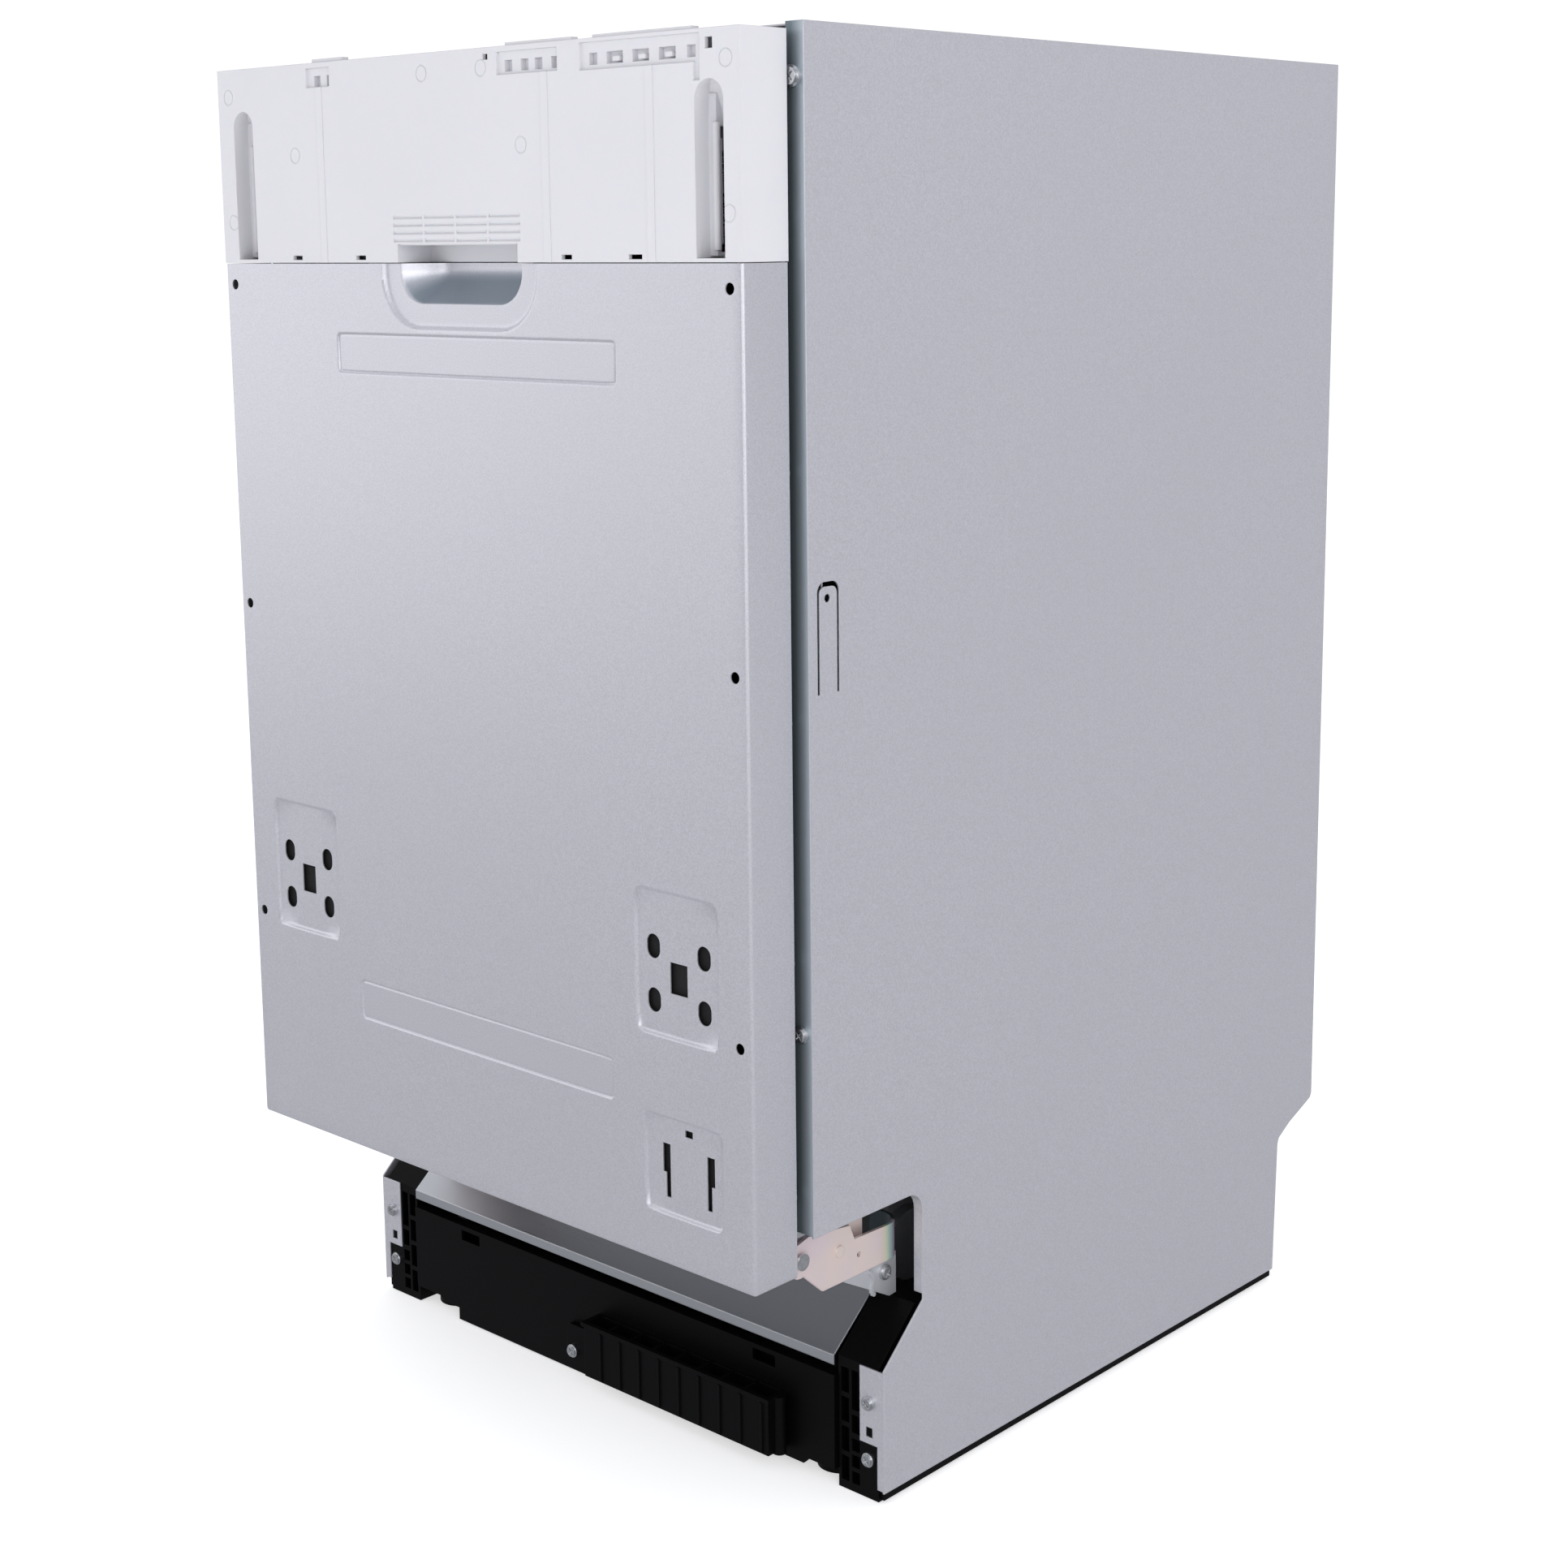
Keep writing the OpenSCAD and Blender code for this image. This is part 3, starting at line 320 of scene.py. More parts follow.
def brushed(name, colour, rough, along, wear_and_highlight=1.1, contrast=1.0):
    """Metal with drawn lines along one axis: 0, 1 or 2."""
    lines = [1.0, 1.0, 1.0]
    lines[along] = 0.02
    g = Graph(name, colour, rough, 1.0, Anisotropic=0.35)
    drawn = g.noise(900, 3, 0.6, tuple(lines))
    smear = g.noise(9, 3)
    dark, light = shade(colour, 1 - 0.1 * contrast), shade(colour, 1 + 0.06 * contrast)
    base = g.mix(g.ramp(drawn, 0.3, 0.7), dark, light)
    normal = g.soft_edges(0.0008)
    # Edges lightened: partly wear, partly a painted highlight.
    g.colour(g.mix(g.edge_mask(normal), base, shade(colour, wear_and_highlight)))
    both = g.maths("ADD", g.maths("MULTIPLY", drawn, 0.5), g.maths("MULTIPLY", smear, 0.5))
    g.rough(g.ramp(both, 0.3, 0.7, rough - 0.07, rough + 0.10))
    g.bump([(drawn, 0.00002 * contrast), (smear, 0.00012)], normal)
    return g.material


def plated(name, colour, rough):
    """Zinc plate: small grey crystals and a cloudy sheen."""
    g = Graph(name, colour, rough, 1.0)
    crystals = g.cells(420)
    cloud = g.noise(60, 3)
    base = g.mix(g.ramp(crystals, 0.0, 0.6), shade(colour, 1.08), shade(colour, 0.86))
    normal = g.soft_edges(0.0005)
    # Painted highlight: the edges are lightened.
    g.colour(g.mix(g.edge_mask(normal), base, shade(colour, 1.15)))
    g.rough(g.ramp(cloud, 0.3, 0.7, rough - 0.06, rough + 0.12))
    g.bump([(cloud, 0.00005)], normal)
    return g.material


# The bracket's bend and the foot of its plate, in millimetres.
BEND_DEPTH = (76, 98)
PLATE_FOOT = (134.2, 134.6)
STAY_GREY = (0.60, 0.61, 0.64)
RAINBOW = [(0.0, (0.84, 0.73, 0.73)),
           (0.22, (0.86, 0.80, 0.62)),
           (0.38, (0.60, 0.80, 0.68)),
           (0.54, (0.58, 0.68, 0.80)),
           (0.66, (0.70, 0.54, 0.60)),
           (0.78, (0.03, 0.045, 0.05))]


def fill_stops(ramp_node, stops):
    """Gives a colour ramp its stops: pairs of place and colour."""
    elements = ramp_node.color_ramp.elements
    while len(elements) < len(stops):
        elements.new(0.5)
    for element, (place, colour) in zip(elements, stops):
        element.position = place
        element.color = (*colour, 1)


def passivated(name):
    """Yellow-passivated zinc: tan and rose, a rainbow on the bend that ends near black at its
    deepest part, and a plain grey stay below.
    """
    tan, rose = (0.90, 0.77, 0.71), (0.88, 0.74, 0.77)
    g = Graph(name, tan, 0.36, 0.55)
    cloud = g.noise(22, 2, 0.5)
    fine = g.noise(500, 2)
    wavy_depth = g.maths("ADD", g.axis(g.where, "Y"), g.maths("MULTIPLY", cloud, 0.004))
    bend_part = g.ramp(wavy_depth, *depths(BEND_DEPTH))
    rainbow = g.add("ShaderNodeValToRGB")
    fill_stops(rainbow, RAINBOW)
    g.link(bend_part, rainbow.inputs["Fac"])
    base = g.mix(g.ramp(cloud, 0.38, 0.62), tan, rose)
    plate = g.mix(g.ramp(bend_part, 0.02, 0.2), base, rainbow.outputs["Color"])
    above = g.ramp(g.axis(g.where, "Z"), *metres(PLATE_FOOT))
    g.colour(g.mix(above, STAY_GREY, plate))
    g.rough(g.ramp(fine, 0.3, 0.7, 0.32, 0.42))
    g.bump([(fine, 0.00001)], g.soft_edges(0.0006))
    return g.material


SILVER = (0.745, 0.738, 0.790)
MATERIALS = {
    "painted_steel": painted_steel("coated_sheet", SILVER),
    "stainless": brushed("stainless_sheet", (0.62, 0.62, 0.63), 0.26, 0),
    "zinc_plate": passivated("passivated_zinc"),
    "bright_zinc": plated("bright_zinc", (0.72, 0.73, 0.75), 0.26),
    "black_plastic": moulded("black_moulding", (0.0018, 0.0017, 0.0020), 0.44, 700, 0.00004, 3.0,
                             Specular_IOR_Level=0.10),
    "white_plastic": moulded("white_moulding", (0.705, 0.700, 0.728), 0.42, 500, 0.00001, 1.10,
                             mottle=0.012, Subsurface_Weight=0.08, Subsurface_Scale=0.003),
    "grey_plastic": moulded("grey_moulding", (0.30, 0.31, 0.325), 0.40, 600, 0.00002),
    "light_plastic": moulded("milky_moulding", (0.62, 0.62, 0.60), 0.35, 500, 0.00002),
    "rubber_seal": moulded("seal_rubber", (0.025, 0.026, 0.028), 0.62, 900, 0.00004, 1.6),
    "coated_wire": moulded("nylon_coating", (0.33, 0.35, 0.37), 0.30, 900, 0.00002),
    "board_green": moulded("solder_mask", (0.015, 0.10, 0.045), 0.30, 400, 0.00003),
    "felt": moulded("bitumen_felt", (0.010, 0.010, 0.011), 0.85, 260, 0.0003, 1.3),
    "button_metal": brushed("button_metal", (0.52, 0.53, 0.55), 0.30, 0),
}
FALLBACK = MATERIALS["grey_plastic"]


def dress_cad():
    """Every CAD node gets its slot's material, and three sheets get their own."""
    for entry in frame["record"]["subparts"]:
        ob = NODES[entry["node"]]
        ob.data.materials.clear()
        ob.data.materials.append(MATERIALS.get(entry["material_slot"], FALLBACK))
    # The side panels get painted shade on their front flange, in the gap behind the door.
    flanged = painted_steel("coated_sheet_flange_shade", SILVER, painted_shade=gap_painted_shade)
    for panel in ("side_panel_left", "side_panel_right"):
        NODES[panel].data.materials[0] = flanged
    galvanised = brushed("galvanised_sheet", (0.66, 0.67, 0.70), 0.30, 0, contrast=0.08)
    NODES["drip_plate"].data.materials[0] = galvanised


dress_cad()


# ---------------------------------------------------------------- mesh helpers

def new_object(name, points, faces, material, body):
    """A mesh piece that rides on a body and has one material."""
    mesh = bpy.data.meshes.new(name)
    mesh.from_pydata([tuple(p) for p in points], [], [tuple(f) for f in faces])
    mesh.update()
    ob = bpy.data.objects.new(name, mesh)
    scene.collection.objects.link(ob)
    mesh.materials.append(material)
    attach(ob, body)
    return ob


def apply_modifiers(ob):
    """Turns a piece's modifiers into its mesh."""
    graph = bpy.context.evaluated_depsgraph_get()
    mesh = bpy.data.meshes.new_from_object(ob.evaluated_get(graph))
    old = ob.data
    ob.modifiers.clear()
    ob.data = mesh
    bpy.data.meshes.remove(old)


def prisms(shapes, y0, y1):
    """Closed prisms along Y from X-Z outlines in millimetres."""
    points, faces = [], []
    for outline in shapes:
        n, first = len(outline), len(points)
        points += [at(x, y0, z) for x, z in outline] + [at(x, y1, z) for x, z in outline]
        front = [first + i for i in range(n)]
        back = [first + n + i for i in range(n)]
        faces += [front, back[::-1]]
        for i in range(n):
            j = (i + 1) % n
            faces.append([front[i], back[i], back[j], front[j]])
    return points, faces


def arc(x, z, r, start, turn, n):
    """Points along an arc in the X-Z plane, both ends included."""
    angles = [start + turn * i / n for i in range(n + 1)]
    return [(x + r * math.cos(a), z + r * math.sin(a)) for a in angles]


def circle(x, z, r, n=24):
    return arc(x, z, r, 0, 2 * math.pi, n)[:-1]


def obround(x, z, w, h, n=12):
    """A slot with round ends, upright."""
    r, half = w / 2, (h - w) / 2
    return arc(x, z + half, r, 0, math.pi, n) + arc(x, z - half, r, math.pi, math.pi, n)


def rectangle(x0, x1, z0, z1):
    return [(x0, z0), (x1, z0), (x1, z1), (x0, z1)]


# ---------------------------------------------------------------- door skin

SKIN_LO, SKIN_HI = span("door_skin")
SHEET = 0.8
FOLD = 2.2
FOLD_ARC = FOLD * math.pi / 2
# Half width and foot of the flat front, between its folds.
FLAT_X = SKIN_HI[0] - FOLD
FLAT_Z = SKIN_LO[2] + FOLD

# Pressed fields: x0, x1, z0, z1, corner radius, depth, width of the drawn edge.
PRESSED = [
    (-109, 125, 634, 656, 2.5, 0.75, 1.2),
    (-110.7, 110.7, 241, 264, 2.5, 0.6, 1.2),
    (-192.5, -131.5, 286, 365.5, 6, 1.9, 2.6),
    (131.5, 192.5, 286, 365.5, 6, 1.9, 2.6),
    (136, 193.8, 185.5, 240, 5, 1.9, 2.6),
]
GRIP_RIM = (-64.5, 64.5, 661, 760, 30, 2.4, 3.6)
GRIP = (-51.5, 51.5, 674, 760, 19, 22.0, 20.0)
GROOVE_DEEP = 0.55
GROOVE_HALF = 1.1

# Fine grid lines: a centre, how far they reach to both sides, and their step.
EDGE_LINES = (1.8, 0.4)
GRIP_X_LINES = [(-50, 17, 1.1), (50, 17, 1.1), (-51, 2.4, 0.4), (51, 2.4, 0.4)]
GRIP_Z_LINES = [(679, 20, 1.1), (674, 2.4, 0.4)]

# The sheet's holes, and how far before and behind its face they are cut.
CUT_BEFORE = 5
CUT_BEHIND = 8
SCREW_X = 208.7
SCREW_HEIGHTS = (291, 488, 684)
SCREW_HOLE = 3.1
SLOT_PLACES = [(x, z) for x in (143.3, 181.3) for z in (304, 334)]
SLOT_SIZE = (10, 13.6)
SQUARE_X = 162.3
SQUARE_HALF = 6.5
SQUARE_HEIGHTS = (310, 327.5)
SMALL_HOLE = (165, 170.7, 231.5, 235.5)
# A hook slot's straight edge, and the side on which it is stepped.
HOOK_SLOTS = [(153.4, -1), (181.3, 1)]
HOOK_WIDTHS = (3.4, 5.7)
HOOK_HEIGHTS = (194, 208, 224.5)


def inside(x, z, x0, x1, z0, z1, r):
    """How far a point lies inside a rectangle with round corners, negative outside."""
    cx, cz = (x0 + x1) / 2, (z0 + z1) / 2
    qx = np.abs(x - cx) - ((x1 - x0) / 2 - r)
    qz = np.abs(z - cz) - ((z1 - z0) / 2 - r)
    outer = np.hypot(np.maximum(qx, 0), np.maximum(qz, 0))
    return r - outer - np.minimum(np.maximum(qx, qz), 0)


def draw_depth(x, z):
    """How deep the sheet is drawn at points of its front."""
    depth = np.zeros_like(x)
    for x0, x1, z0, z1, r, deep, width in PRESSED + [GRIP_RIM]:
        within = inside(x, z, x0, x1, z0, z1, r)
        t = np.clip(within / width + 0.5, 0, 1)
        groove = GROOVE_DEEP * np.clip(1 - np.abs(within) / GROOVE_HALF, 0, 1)
        depth = np.maximum(depth, deep * t * t * (3 - 2 * t) + groove)
    x0, x1, z0, z1, r, deep, width = GRIP
    t = np.clip(inside(x, z, x0, x1, z0, z1, r) / width, 0, 1)
    return depth + deep * np.sin(t * math.pi / 2)


def grid_lines(low, high, fine, coarse=9.0):
    """Lines from low to high, close together near the given places."""
    places = {low, high}
    for centre, reach, step in fine:
        count = max(1, round(2 * reach / step))
        places |= {round(centre - reach + 2 * reach * i / count, 3) for i in range(count + 1)}
    places = sorted(p for p in places if low <= p <= high)
    lines = [places[0]]
    for p in places[1:]:
        if p - lines[-1] < 0.18:
            continue
        steps = max(1, math.ceil((p - lines[-1]) / coarse))
        start = lines[-1]
        lines += [start + (p - start) * (i + 1) / steps for i in range(steps)]
    return lines


def blank_lines():
    """Grid lines of the flat blank, across and up, with those of its folded sides and foot."""
    side = SKIN_HI[1] - SKIN_LO[1] - FOLD
    fold = [FOLD_ARC * i / 5 for i in range(1, 6)]
    fold += [FOLD_ARC + side * i / 4 for i in range(1, 5)]
    x_fine = [(x, *EDGE_LINES) for field in PRESSED for x in field[0:2]] + GRIP_X_LINES
    z_fine = [(z, *EDGE_LINES) for field in PRESSED for z in field[2:4]] + GRIP_Z_LINES
    across = grid_lines(-FLAT_X, FLAT_X, x_fine)
    up = grid_lines(FLAT_Z, SKIN_HI[2], z_fine)
    before = [-f for f in reversed(fold)]
    us = [-FLAT_X + f for f in before] + across + [FLAT_X + f for f in fold]
    vs = [FLAT_Z + f for f in before] + up
    return us, vs


def fold_back(u, v):
    """Where a point of the flat blank lies once its sides and its foot are folded back."""
    over_x = max(abs(u) - FLAT_X, 0)
    over_z = max(FLAT_Z - v, 0)
    turn_x = min(over_x / FOLD, math.pi / 2)
    turn_z = min(over_z / FOLD, math.pi / 2)
    back = max(over_x - FOLD_ARC, over_z - FOLD_ARC, 0)
    x = min(abs(u), FLAT_X) + FOLD * math.sin(turn_x) * math.cos(turn_z)
    y = SKIN_LO[1] + FOLD - FOLD * math.cos(turn_x) * math.cos(turn_z) + back
    z = max(v, FLAT_Z) - FOLD * math.sin(turn_z)
    return math.copysign(x, u), y, z


def blank_faces(us, vs):
    """Quads between the grid lines, without the two corners cut out at the foot."""
    columns = len(us)
    folded = FOLD_ARC - 1e-6
    faces = []
    for j in range(len(vs) - 1):
        foot = FLAT_Z - vs[j + 1] >= folded
        for i in range(columns - 1):
            beside = min(abs(us[i]), abs(us[i + 1])) - FLAT_X >= folded
            if foot and beside:
                continue
            k = j * columns + i
            faces.append((k, k + 1, k + columns + 1, k + columns))
    return faces


def hook_slot(edge, side):
    """A slot with one straight edge and a step in the other."""
    narrow, wide = (edge + side * width for width in HOOK_WIDTHS)
    foot, step, top = HOOK_HEIGHTS
    outline = [(edge, foot), (narrow, foot), (narrow, step), (wide, step), (wide, top), (edge, top)]
    return outline[::side]


def skin_holes():
    """Outlines of all holes in the sheet, each one anticlockwise."""
    holes = []
    for side in (-1, 1):
        middle = side * SQUARE_X
        holes += [circle(side * SCREW_X, z, SCREW_HOLE) for z in SCREW_HEIGHTS]
        holes += [obround(side * x, z, *SLOT_SIZE) for x, z in SLOT_PLACES]
        holes.append(rectangle(middle - SQUARE_HALF, middle + SQUARE_HALF, *SQUARE_HEIGHTS))
    holes.append(rectangle(*SMALL_HOLE))
    return holes + [hook_slot(edge, side) for edge, side in HOOK_SLOTS]


def cut_holes(piece, outlines, y0, y1):
    """Cuts prisms through a piece."""
    points, faces = prisms(outlines, y0, y1)
    mesh = bpy.data.meshes.new("cutter")
    mesh.from_pydata([tuple(p) for p in points], [], faces)
    cutter = bpy.data.objects.new("cutter", mesh)
    scene.collection.objects.link(cutter)
    cut = piece.modifiers.new("holes", "BOOLEAN")
    cut.operation = "DIFFERENCE"
    cut.solver = "EXACT"
    cut.object = cutter
    apply_modifiers(piece)
    bpy.data.objects.remove(cutter)


def thicken(piece, thickness):
    """Makes a sheet of one surface into a solid one."""
    weld = piece.modifiers.new("weld", "WELD")
    weld.merge_threshold = 0.00002
    wall = piece.modifiers.new("wall", "SOLIDIFY")
    wall.thickness = thickness * MM
    wall.offset = -1
    apply_modifiers(piece)


def make_door_skin():
    """The outer sheet as one drawn surface: folded sides, pressed fields, the grip, cut holes."""
    us, vs = blank_lines()
    grid = np.array([fold_back(u, v) for v in vs for u in us])
    on_front = (np.abs(grid[:, 0]) < FLAT_X - 1) & (grid[:, 2] > FLAT_Z + 1)
    grid[on_front, 1] += draw_depth(grid[on_front, 0], grid[on_front, 2])
    points = [at(*p) for p in grid]
    # The door's sheet gets painted shade on the grip's upward wall.
    material = painted_steel("coated_sheet_door", SILVER, rough=0.38, edge=0.00025, painted_shade=bowl_painted_shade)
    skin = new_object("door_skin_drawn", points, blank_faces(us, vs), material, "door")
    thicken(skin, SHEET)
    cut_holes(skin, skin_holes(), SKIN_LO[1] - CUT_BEFORE, SKIN_LO[1] + CUT_BEHIND)
    for polygon in skin.data.polygons:
        polygon.use_smooth = True
    skin.data.set_sharp_from_angle(angle=math.radians(38))
    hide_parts("door_skin")


make_door_skin()


# ---------------------------------------------------------------- wire racks

COAT = MATERIALS["coated_wire"]
GREY = MATERIALS["grey_plastic"]

# Both racks: the wire's radius, how far its axis lies inside the rack's outline, and the layout.
WIRE = 1.9
WIRE_INSET = 2.0
CROSSING = 1.6
RACK_FRONT = 45
RACK_BACK = 470
RACK_CELLS = 10

# The upper rack, its runners and the spray arm's hub.
UPPER_HALF = 170
UPPER_FLOOR = 490
UPPER_TINE_ROWS = (129, 213, 297, 381)
UPPER_TINE_TALL = 52
RUNNER_X = (184.5, 190.4)
RUNNER_Y = (60, 450)
RUNNER_HALF_TALL = 4
ARM_X = (166, 185)
ARM_DEPTH = 6
ARM_PLACES = (90, 250, 410)
HUB_PLATE = ((-24, 226, 488), (24, 274, 490.5))
FEED_CHANNEL = ((-8, 262, 486.5), (8, 466, 489.8))
HUB_Y = 250
HUB_HOLE = 4
# Each part of the hub: its foot, its top and its radius.
HUB_PARTS = [(460.5, 489, 6), (458, 460.5, 9)]

# The lower rack and its wheel carriers; each axle part has its two ends and its radius.
LOWER_HALF = 163
LOWER_FLOOR = 222
FIXED_ROWS = (152, 202)
FIXED_ROW_X = (-150, 20)
WHEEL_PLACES = (115, 400)
CARRIER_X = (161, 165.5)
CARRIER_HALF_DEPTH = 9
CARRIER_BELOW_AXLE = 7
CARRIER_TOP = 234
AXLE_PARTS = [(165, 178.6, 2.5), (178.6, 180.2, 4.4)]

# The lower rack's tines, and the cross wire on which one row folds down.
TINES = 6
FIRST_TINE = -144
TINE_STEP = 31
TINE_TALL = 70
HINGE_Y = 332
HINGE_Z = 231
CLIP_PLACES = (-160, 30)
CLIP_WIDTH = 5
CLIP_HALF_DEPTH = 7
CLIP_WALL = 4.6


def wire_object(name, paths, radius, material, body):
    """Round coated wire along paths of points in millimetres, with closed ends."""
    data = bpy.data.curves.new(name, "CURVE")
    data.dimensions = "3D"
    data.bevel_depth = radius * MM
    data.bevel_resolution = 2
    data.use_fill_caps = True
    for path in paths:
        spline = data.splines.new("POLY")
        spline.points.add(len(path) - 1)
        for point, p in zip(spline.points, path):
            point.co = (*at(*p), 1)
    data.materials.append(material)
    curve = bpy.data.objects.new(name, data)
    scene.collection.objects.link(curve)
    graph = bpy.context.evaluated_depsgraph_get()
    mesh = bpy.data.meshes.new_from_object(curve.evaluated_get(graph))
    bpy.data.objects.remove(curve)
    ob = bpy.data.objects.new(name, mesh)
    scene.collection.objects.link(ob)
    for polygon in mesh.polygons:
        polygon.use_smooth = True
    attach(ob, body)
    return ob


def bend(points, radius=9, steps=4):
    """The same path with its corners rounded."""
    path = [points[0]]
    for before, corner, after in zip(points, points[1:], points[2:]):
        c = np.array(corner, float)
        a = np.array(before) - c
        b = np.array(after) - c
        a *= radius / np.linalg.norm(a)
        b *= radius / np.linalg.norm(b)
        for i in range(steps + 1):
            t = i / steps
            path.append(tuple(c + a * (1 - t) ** 2 + b * t ** 2))
    return path + [points[-1]]


def hoop(hx, y0, y1, z, r=22):
    """A closed level wire that starts and ends on its left side."""
    seam = (-hx, y0 + 60, z)
    corners = [seam, (-hx, y0, z), (hx, y0, z), (hx, y1, z), (-hx, y1, z), seam]
    return bend(corners, r, 6)


def cell_x(half_width, i):
    """Where a rack's lengthways wire number i lies."""
    edge = half_width - WIRE_INSET
    return -edge + 2 * edge * i / RACK_CELLS


def basket_wires(half_width, z0, z1):
    """U-shaped wires both ways and two hoops, as a welded dish rack has."""
    x, low, high = half_width - WIRE_INSET, z0 + WIRE_INSET, z1 - WIRE_INSET
    front, back = RACK_FRONT + WIRE_INSET, RACK_BACK - WIRE_INSET
    crossing = low + CROSSING
    paths = []
    for i in range(1, RACK_CELLS):
        px = cell_x(half_width, i)
        paths.append(bend([(px, front, high), (px, front, low), (px, back, low), (px, back, high)]))
    for j in range(1, RACK_CELLS):
        py = front + (back - front) * j / RACK_CELLS
        paths.append(bend([(-x, py, high), (-x, py, crossing), (x, py, crossing), (x, py, high)]))
    for z in (high, (low + high) / 2):
        paths.append(hoop(x, front, back, z))
    return paths


def mirrored(side, x0, x1, y0, y1, z0, z1):
    """A block's two corners, on the left for side -1 and on the right for side 1."""
    near, far = sorted((side * x0, side * x1))
    return (near, y0, z0), (far, y1, z1)


def solid_blocks(name, blocks, material, body, bevel=0.8):
    """Blocks with eased edges, from opposite corners in millimetres."""
    points, faces = [], []
    for a, b in blocks:
        first = len(points)
        points += [at(x, y, z) for z in (a[2], b[2]) for y in (a[1], b[1]) for x in (a[0], b[0])]
        quads = [(0, 2, 3, 1), (4, 5, 7, 6), (0, 1, 5, 4), (2, 6, 7, 3), (0, 4, 6, 2), (1, 3, 7, 5)]
        faces += [[first + q for q in quad] for quad in quads]
    ob = new_object(name, points, faces, material, body)
    ease = ob.modifiers.new("ease", "BEVEL")
    ease.width = bevel * MM
    ease.segments = 2
    apply_modifiers(ob)
    return ob


def ring_z(x, y, z, r, n):
    """A level ring of points."""
    turns = [2 * math.pi * i / n for i in range(n)]
    return [at(x + r * math.cos(t), y + r * math.sin(t), z) for t in turns]


def ring_x(x, y, z, r, n):
    """An upright ring of points about an axle along X."""
    turns = [2 * math.pi * i / n for i in range(n)]
    return [at(x, y + r * math.cos(t), z + r * math.sin(t)) for t in turns]


def join_rings(a, b, n):
    """Quads between two rings, from the numbers of their first points."""
    return [[a + i, a + (i + 1) % n, b + (i + 1) % n, b + i] for i in range(n)]


def add_pipe(points, faces, x, y, z0, z1, r, hole, n=32):
    """Adds an upright pipe to a list of points and faces."""
    first = len(points)
    rings = [(r, z0), (r, z1), (hole, z1), (hole, z0)]
    for k, (radius, z) in enumerate(rings):
        points += ring_z(x, y, z, radius, n)
        faces += join_rings(first + k * n, first + (k + 1) % len(rings) * n, n)


def add_rod(points, faces, x0, x1, y, z, r, n=24):
    """Adds a rod along X, with closed ends, to a list of points and faces."""
    first = len(points)
    points += ring_x(x0, y, z, r, n) + ring_x(x1, y, z, r, n)
    faces += join_rings(first, first + n, n)
    faces.append([first + i for i in reversed(range(n))])
    faces.append([first + n + i for i in range(n)])


def rack_piece(name, points, faces, rack):
    piece = new_object(name, points, faces, GREY, rack)
    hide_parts(rack)


def make_upper_rack():
    """The upper rack: wires, the runners with the feed channel, and the spray arm's hub."""
    rack = "upper_rack"
    paths = basket_wires(UPPER_HALF, UPPER_FLOOR, span(rack)[1][2])
    for y in UPPER_TINE_ROWS:
        for i in range(1, 5):
            x = cell_x(UPPER_HALF, i)
            paths.append([(x, y, UPPER_FLOOR + 4), (x, y - 4, UPPER_FLOOR + UPPER_TINE_TALL)])
    wires = wire_object("upper_rack_wires", paths, WIRE, COAT, rack)
    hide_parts(rack)

    slide_lo, slide_hi = span("upper_slide_members")
    rail = (slide_lo[2] + slide_hi[2]) / 2
    low, high = rail - RUNNER_HALF_TALL, rail + RUNNER_HALF_TALL
    blocks = [HUB_PLATE, FEED_CHANNEL]
    for side in (-1, 1):
        blocks.append(mirrored(side, *RUNNER_X, *RUNNER_Y, low, high))
        blocks += [mirrored(side, *ARM_X, y, y + ARM_DEPTH, rail - 3, rail + 1) for y in ARM_PLACES]
    runners = solid_blocks("upper_rack_runners", blocks, GREY, rack)
    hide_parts(rack)

    points, faces = [], []
    for foot, top, radius in HUB_PARTS:
        add_pipe(points, faces, 0, HUB_Y, foot, top, radius, HUB_HOLE)
    rack_piece("upper_rack_hub", points, faces, rack)


def tine_clip(x):
    """Four blocks around the folding row's cross wire, which turns in the gap between them."""
    front, back = HINGE_Y - CLIP_HALF_DEPTH, HINGE_Y + CLIP_HALF_DEPTH
    end = x + CLIP_WIDTH
    foot = ((x, front, HINGE_Z - 8), (end, back, HINGE_Z - 2.6))
    cap = ((x, front, HINGE_Z + 2.6), (end, back, HINGE_Z + 7))
    low, high = HINGE_Z - 2.8, HINGE_Z + 2.8
    walls = [((x, y, low), (end, y + CLIP_WALL, high)) for y in (front, back - CLIP_WALL)]
    return [foot, cap] + walls


def make_lower_rack():
    """The lower rack: wires with the fixed tines, the wheel carriers, and the axles."""
    rack, floor = "lower_rack", LOWER_FLOOR
    wheel_lo, wheel_hi = span("front_wheels")
    wheel_z = (wheel_lo[2] + wheel_hi[2]) / 2
    paths = basket_wires(LOWER_HALF, floor, span(rack)[1][2])
    for y in FIXED_ROWS:
        paths.append([(x, y, floor + 2) for x in FIXED_ROW_X])
        for i in range(TINES):
            x = FIRST_TINE + TINE_STEP * i
            paths.append([(x, y, floor + 3), (x, y - 3, floor + TINE_TALL)])
    wires = wire_object("lower_rack_wires", paths, WIRE, COAT, rack)
    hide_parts(rack)

    blocks = []
    for x in CLIP_PLACES:
        blocks += tine_clip(x)
    low = wheel_z - CARRIER_BELOW_AXLE
    for side in (-1, 1):
        for y in WHEEL_PLACES:
            front, back = y - CARRIER_HALF_DEPTH, y + CARRIER_HALF_DEPTH
            blocks.append(mirrored(side, *CARRIER_X, front, back, low, CARRIER_TOP))
    carriers = solid_blocks("lower_rack_carriers", blocks, GREY, rack)
    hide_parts(rack)

    points, faces = [], []
    for side in (-1, 1):
        for y in WHEEL_PLACES:
            for x0, x1, radius in AXLE_PARTS:
                add_rod(points, faces, side * x0, side * x1, y, wheel_z, radius)
    rack_piece("lower_rack_axles", points, faces, rack)


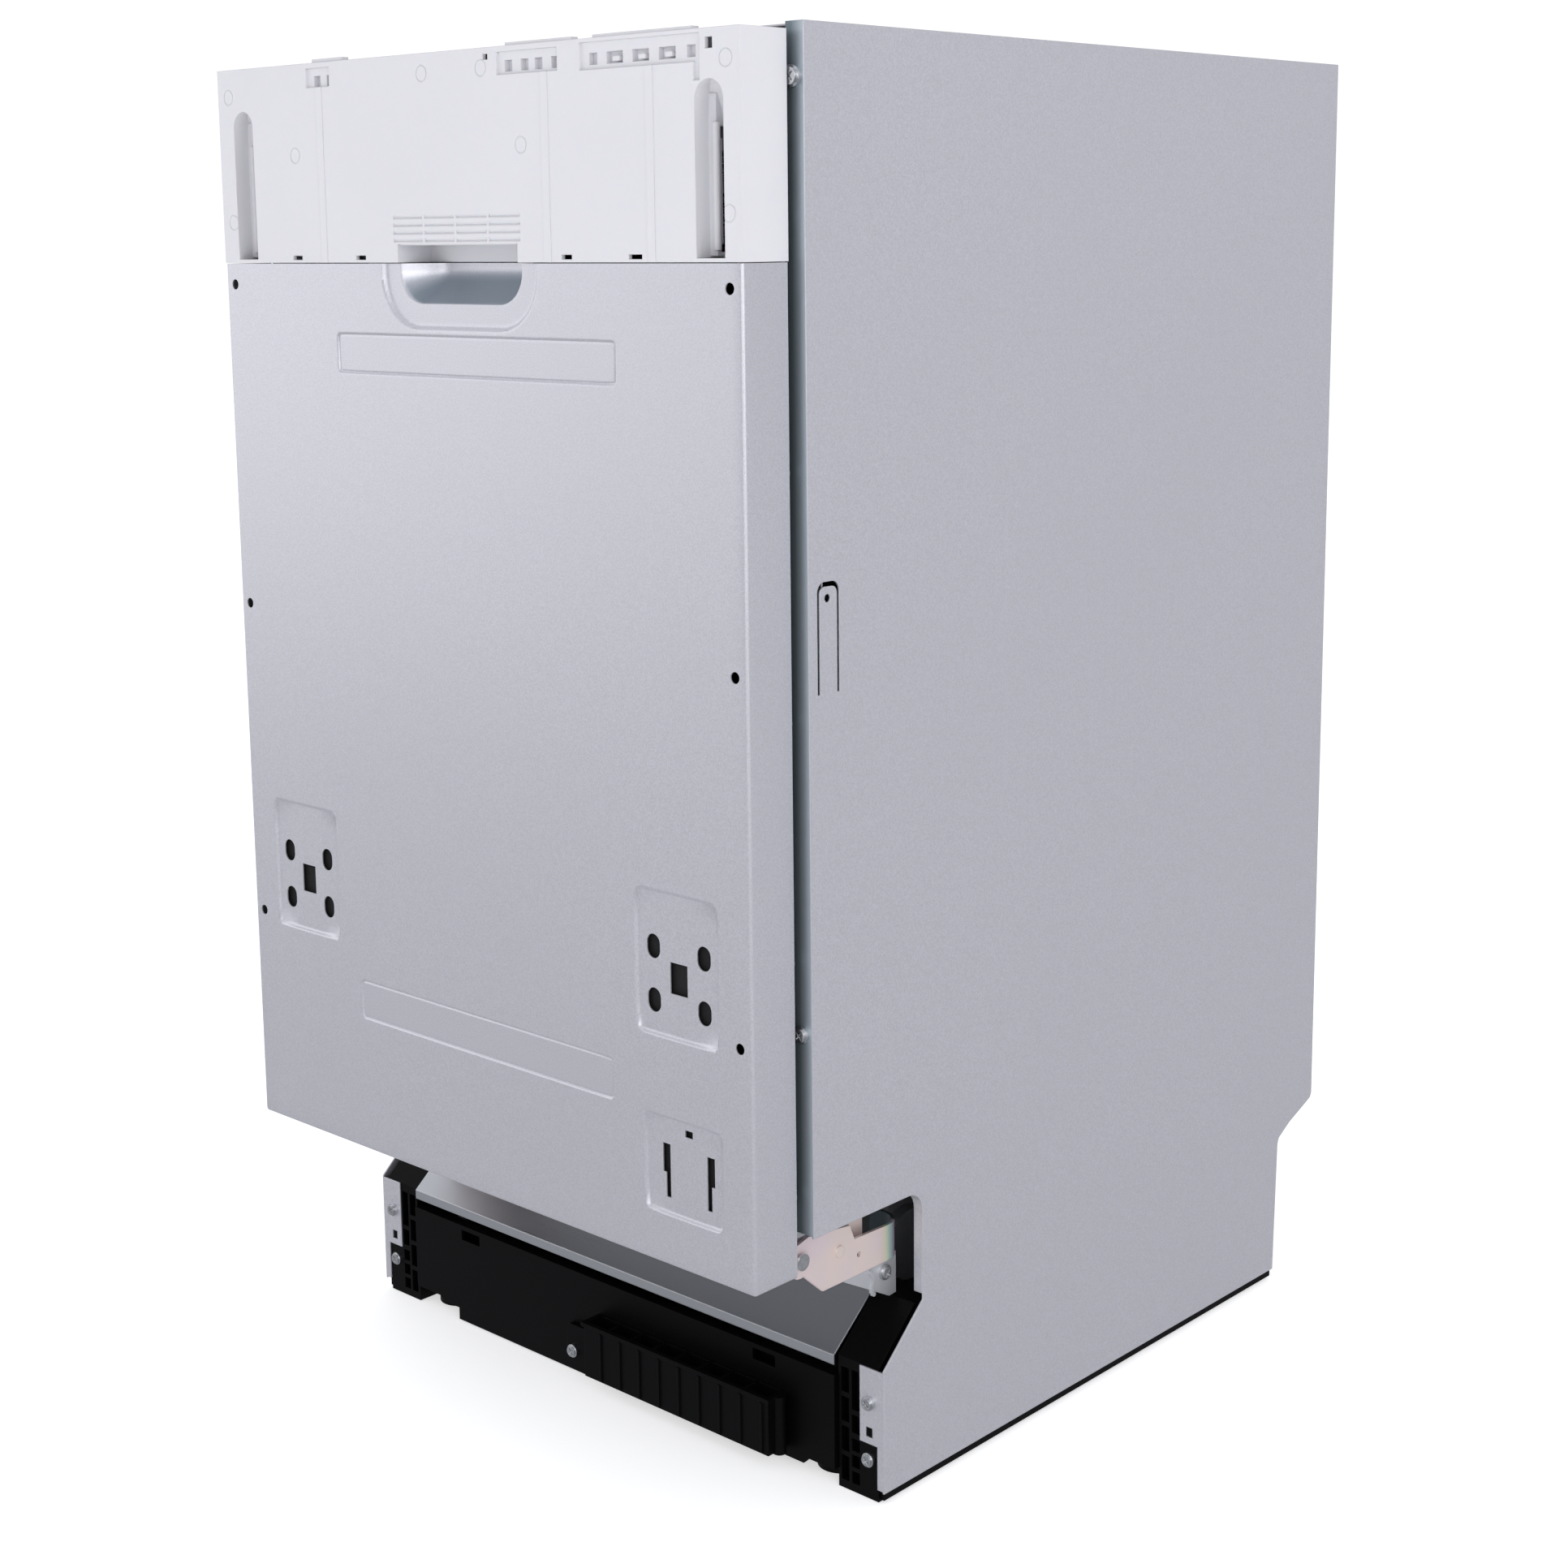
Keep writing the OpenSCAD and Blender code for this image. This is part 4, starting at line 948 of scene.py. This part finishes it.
def make_folding_tines():
    """The row of tines that folds down, on its own cross wire."""
    lo, hi = span("folding_tines")
    paths = [[(x, HINGE_Y, HINGE_Z) for x in (lo[0], hi[0])]]
    for i in range(TINES):
        x = FIRST_TINE + TINE_STEP * i
        tip = (x, HINGE_Y + 0.1, hi[2] - 0.2)
        paths.append(bend([(x, HINGE_Y, HINGE_Z), (x, HINGE_Y, 270), tip], 3))
    tines = wire_object("folding_tine_wires", paths, WIRE, COAT, "folding_tines")
    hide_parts("folding_tines")


# Routes of the door's sleeved cable and its thin wire, in millimetres.
SLEEVE_ROUTE = [(197, -14, 785), (189, -14, 774), (176, -14, 750), (160, -14, 741), (128, -14, 737)]
WIRE_ROUTE = [(198, -13, 768), (184, -13, 743), (172, -13, 716), (150, -13, 708)]
SLEEVE_RADIUS = 3.2
WIRE_RADIUS = 0.7


def make_harness():
    """The grey sleeved cable and a thin wire behind the right hook channel."""
    material = moulded("sleeve", (0.42, 0.41, 0.40), 0.6, 400, 0.0002)
    sleeve, wire = (bend(route, 12, 6) for route in (SLEEVE_ROUTE, WIRE_ROUTE))
    wire_object("harness_sleeve", [sleeve], SLEEVE_RADIUS, material, "door")
    wire_object("harness_wire", [wire], WIRE_RADIUS, material, "door")


make_upper_rack()
make_lower_rack()
make_folding_tines()
make_harness()


# ---------------------------------------------------------------- studio

FLOOR_HALF = 9.0
FLOOR_GLOW = 0.55
BACKDROP_STRENGTH = 1.05
# The room's grey by height: place on the ramp and colour.
ROOM_FADE = [(0.25, (0.30, 0.31, 0.33)), (0.75, (0.62, 0.63, 0.66))]
# The lamps point here, at the middle of the cabinet.
LAMP_AIM = (0, 0, 0.42)


def make_stage():
    """A plain pale floor just under the feet."""
    size = FLOOR_HALF
    mesh = bpy.data.meshes.new("floor")
    z = cad_lo[2] - 0.0005
    corners = [(-size, -size, z), (size, -size, z), (size, size, z), (-size, size, z)]
    mesh.from_pydata(corners, [], [(0, 1, 2, 3)])
    floor = bpy.data.objects.new("floor", mesh)
    scene.collection.objects.link(floor)
    g = Graph("pale_floor", (0.93, 0.93, 0.935), 0.65)
    tone = g.noise(3, 2)
    g.colour(g.mix(g.ramp(tone, 0.3, 0.7), (0.92, 0.92, 0.925), (0.945, 0.945, 0.95)))
    g.shader.inputs["Emission Color"].default_value = (1, 1, 1, 1)
    g.shader.inputs["Emission Strength"].default_value = FLOOR_GLOW
    mesh.materials.append(g.material)
    floor.visible_glossy = False


def area_light(name, place, size, watts):
    """A white rectangular lamp that points at the cabinet and doesn't show itself."""
    data = bpy.data.lights.new(name, "AREA")
    data.shape = "RECTANGLE"
    data.size, data.size_y = size
    data.energy = watts
    lamp = bpy.data.objects.new(name, data)
    lamp.visible_camera = False
    lamp.location = place
    lamp.rotation_euler = (Vector(LAMP_AIM) - Vector(place)).to_track_quat("-Z", "Y").to_euler()
    scene.collection.objects.link(lamp)


def make_world():
    """White to the camera, and a soft grey room, darker below, as light for the machine."""
    world = bpy.data.worlds.new("studio")
    scene.world = world
    world.use_nodes = True
    tree = world.node_tree
    room = tree.nodes["Background"]
    where = tree.nodes.new("ShaderNodeTexCoord")
    split = tree.nodes.new("ShaderNodeSeparateXYZ")
    fade = tree.nodes.new("ShaderNodeValToRGB")
    fill_stops(fade, ROOM_FADE)
    height = tree.nodes.new("ShaderNodeMapRange")
    height.inputs["From Min"].default_value = -1
    height.inputs["From Max"].default_value = 1
    white = tree.nodes.new("ShaderNodeBackground")
    white.inputs["Color"].default_value = (1, 1, 1, 1)
    white.inputs["Strength"].default_value = BACKDROP_STRENGTH
    path = tree.nodes.new("ShaderNodeLightPath")
    choose = tree.nodes.new("ShaderNodeMixShader")
    links = [(where.outputs["Generated"], split.inputs["Vector"]),
             (split.outputs["Z"], height.inputs["Value"]),
             (height.outputs["Result"], fade.inputs["Fac"]),
             (fade.outputs["Color"], room.inputs["Color"]),
             (path.outputs["Is Camera Ray"], choose.inputs["Fac"]),
             (room.outputs["Background"], choose.inputs[1]),
             (white.outputs["Background"], choose.inputs[2]),
             (choose.outputs["Shader"], tree.nodes["World Output"].inputs["Surface"])]
    for source, target in links:
        tree.links.new(source, target)


def make_lights():
    """Place, size in metres and watts of each lamp."""
    area_light("key", (-3.4, -2.2, 1.2), (3.2, 2.6), 16)
    area_light("front_right", (1.3, -2.6, 1.1), (0.9, 1.8), 8)
    area_light("fill", (2.5, -1.2, 1.2), (1.3, 1.3), 14)
    area_light("top", (0.2, 0.4, 3.2), (2.0, 2.0), 6)


make_world()
make_stage()
make_lights()
scene.view_settings.view_transform = "Standard"
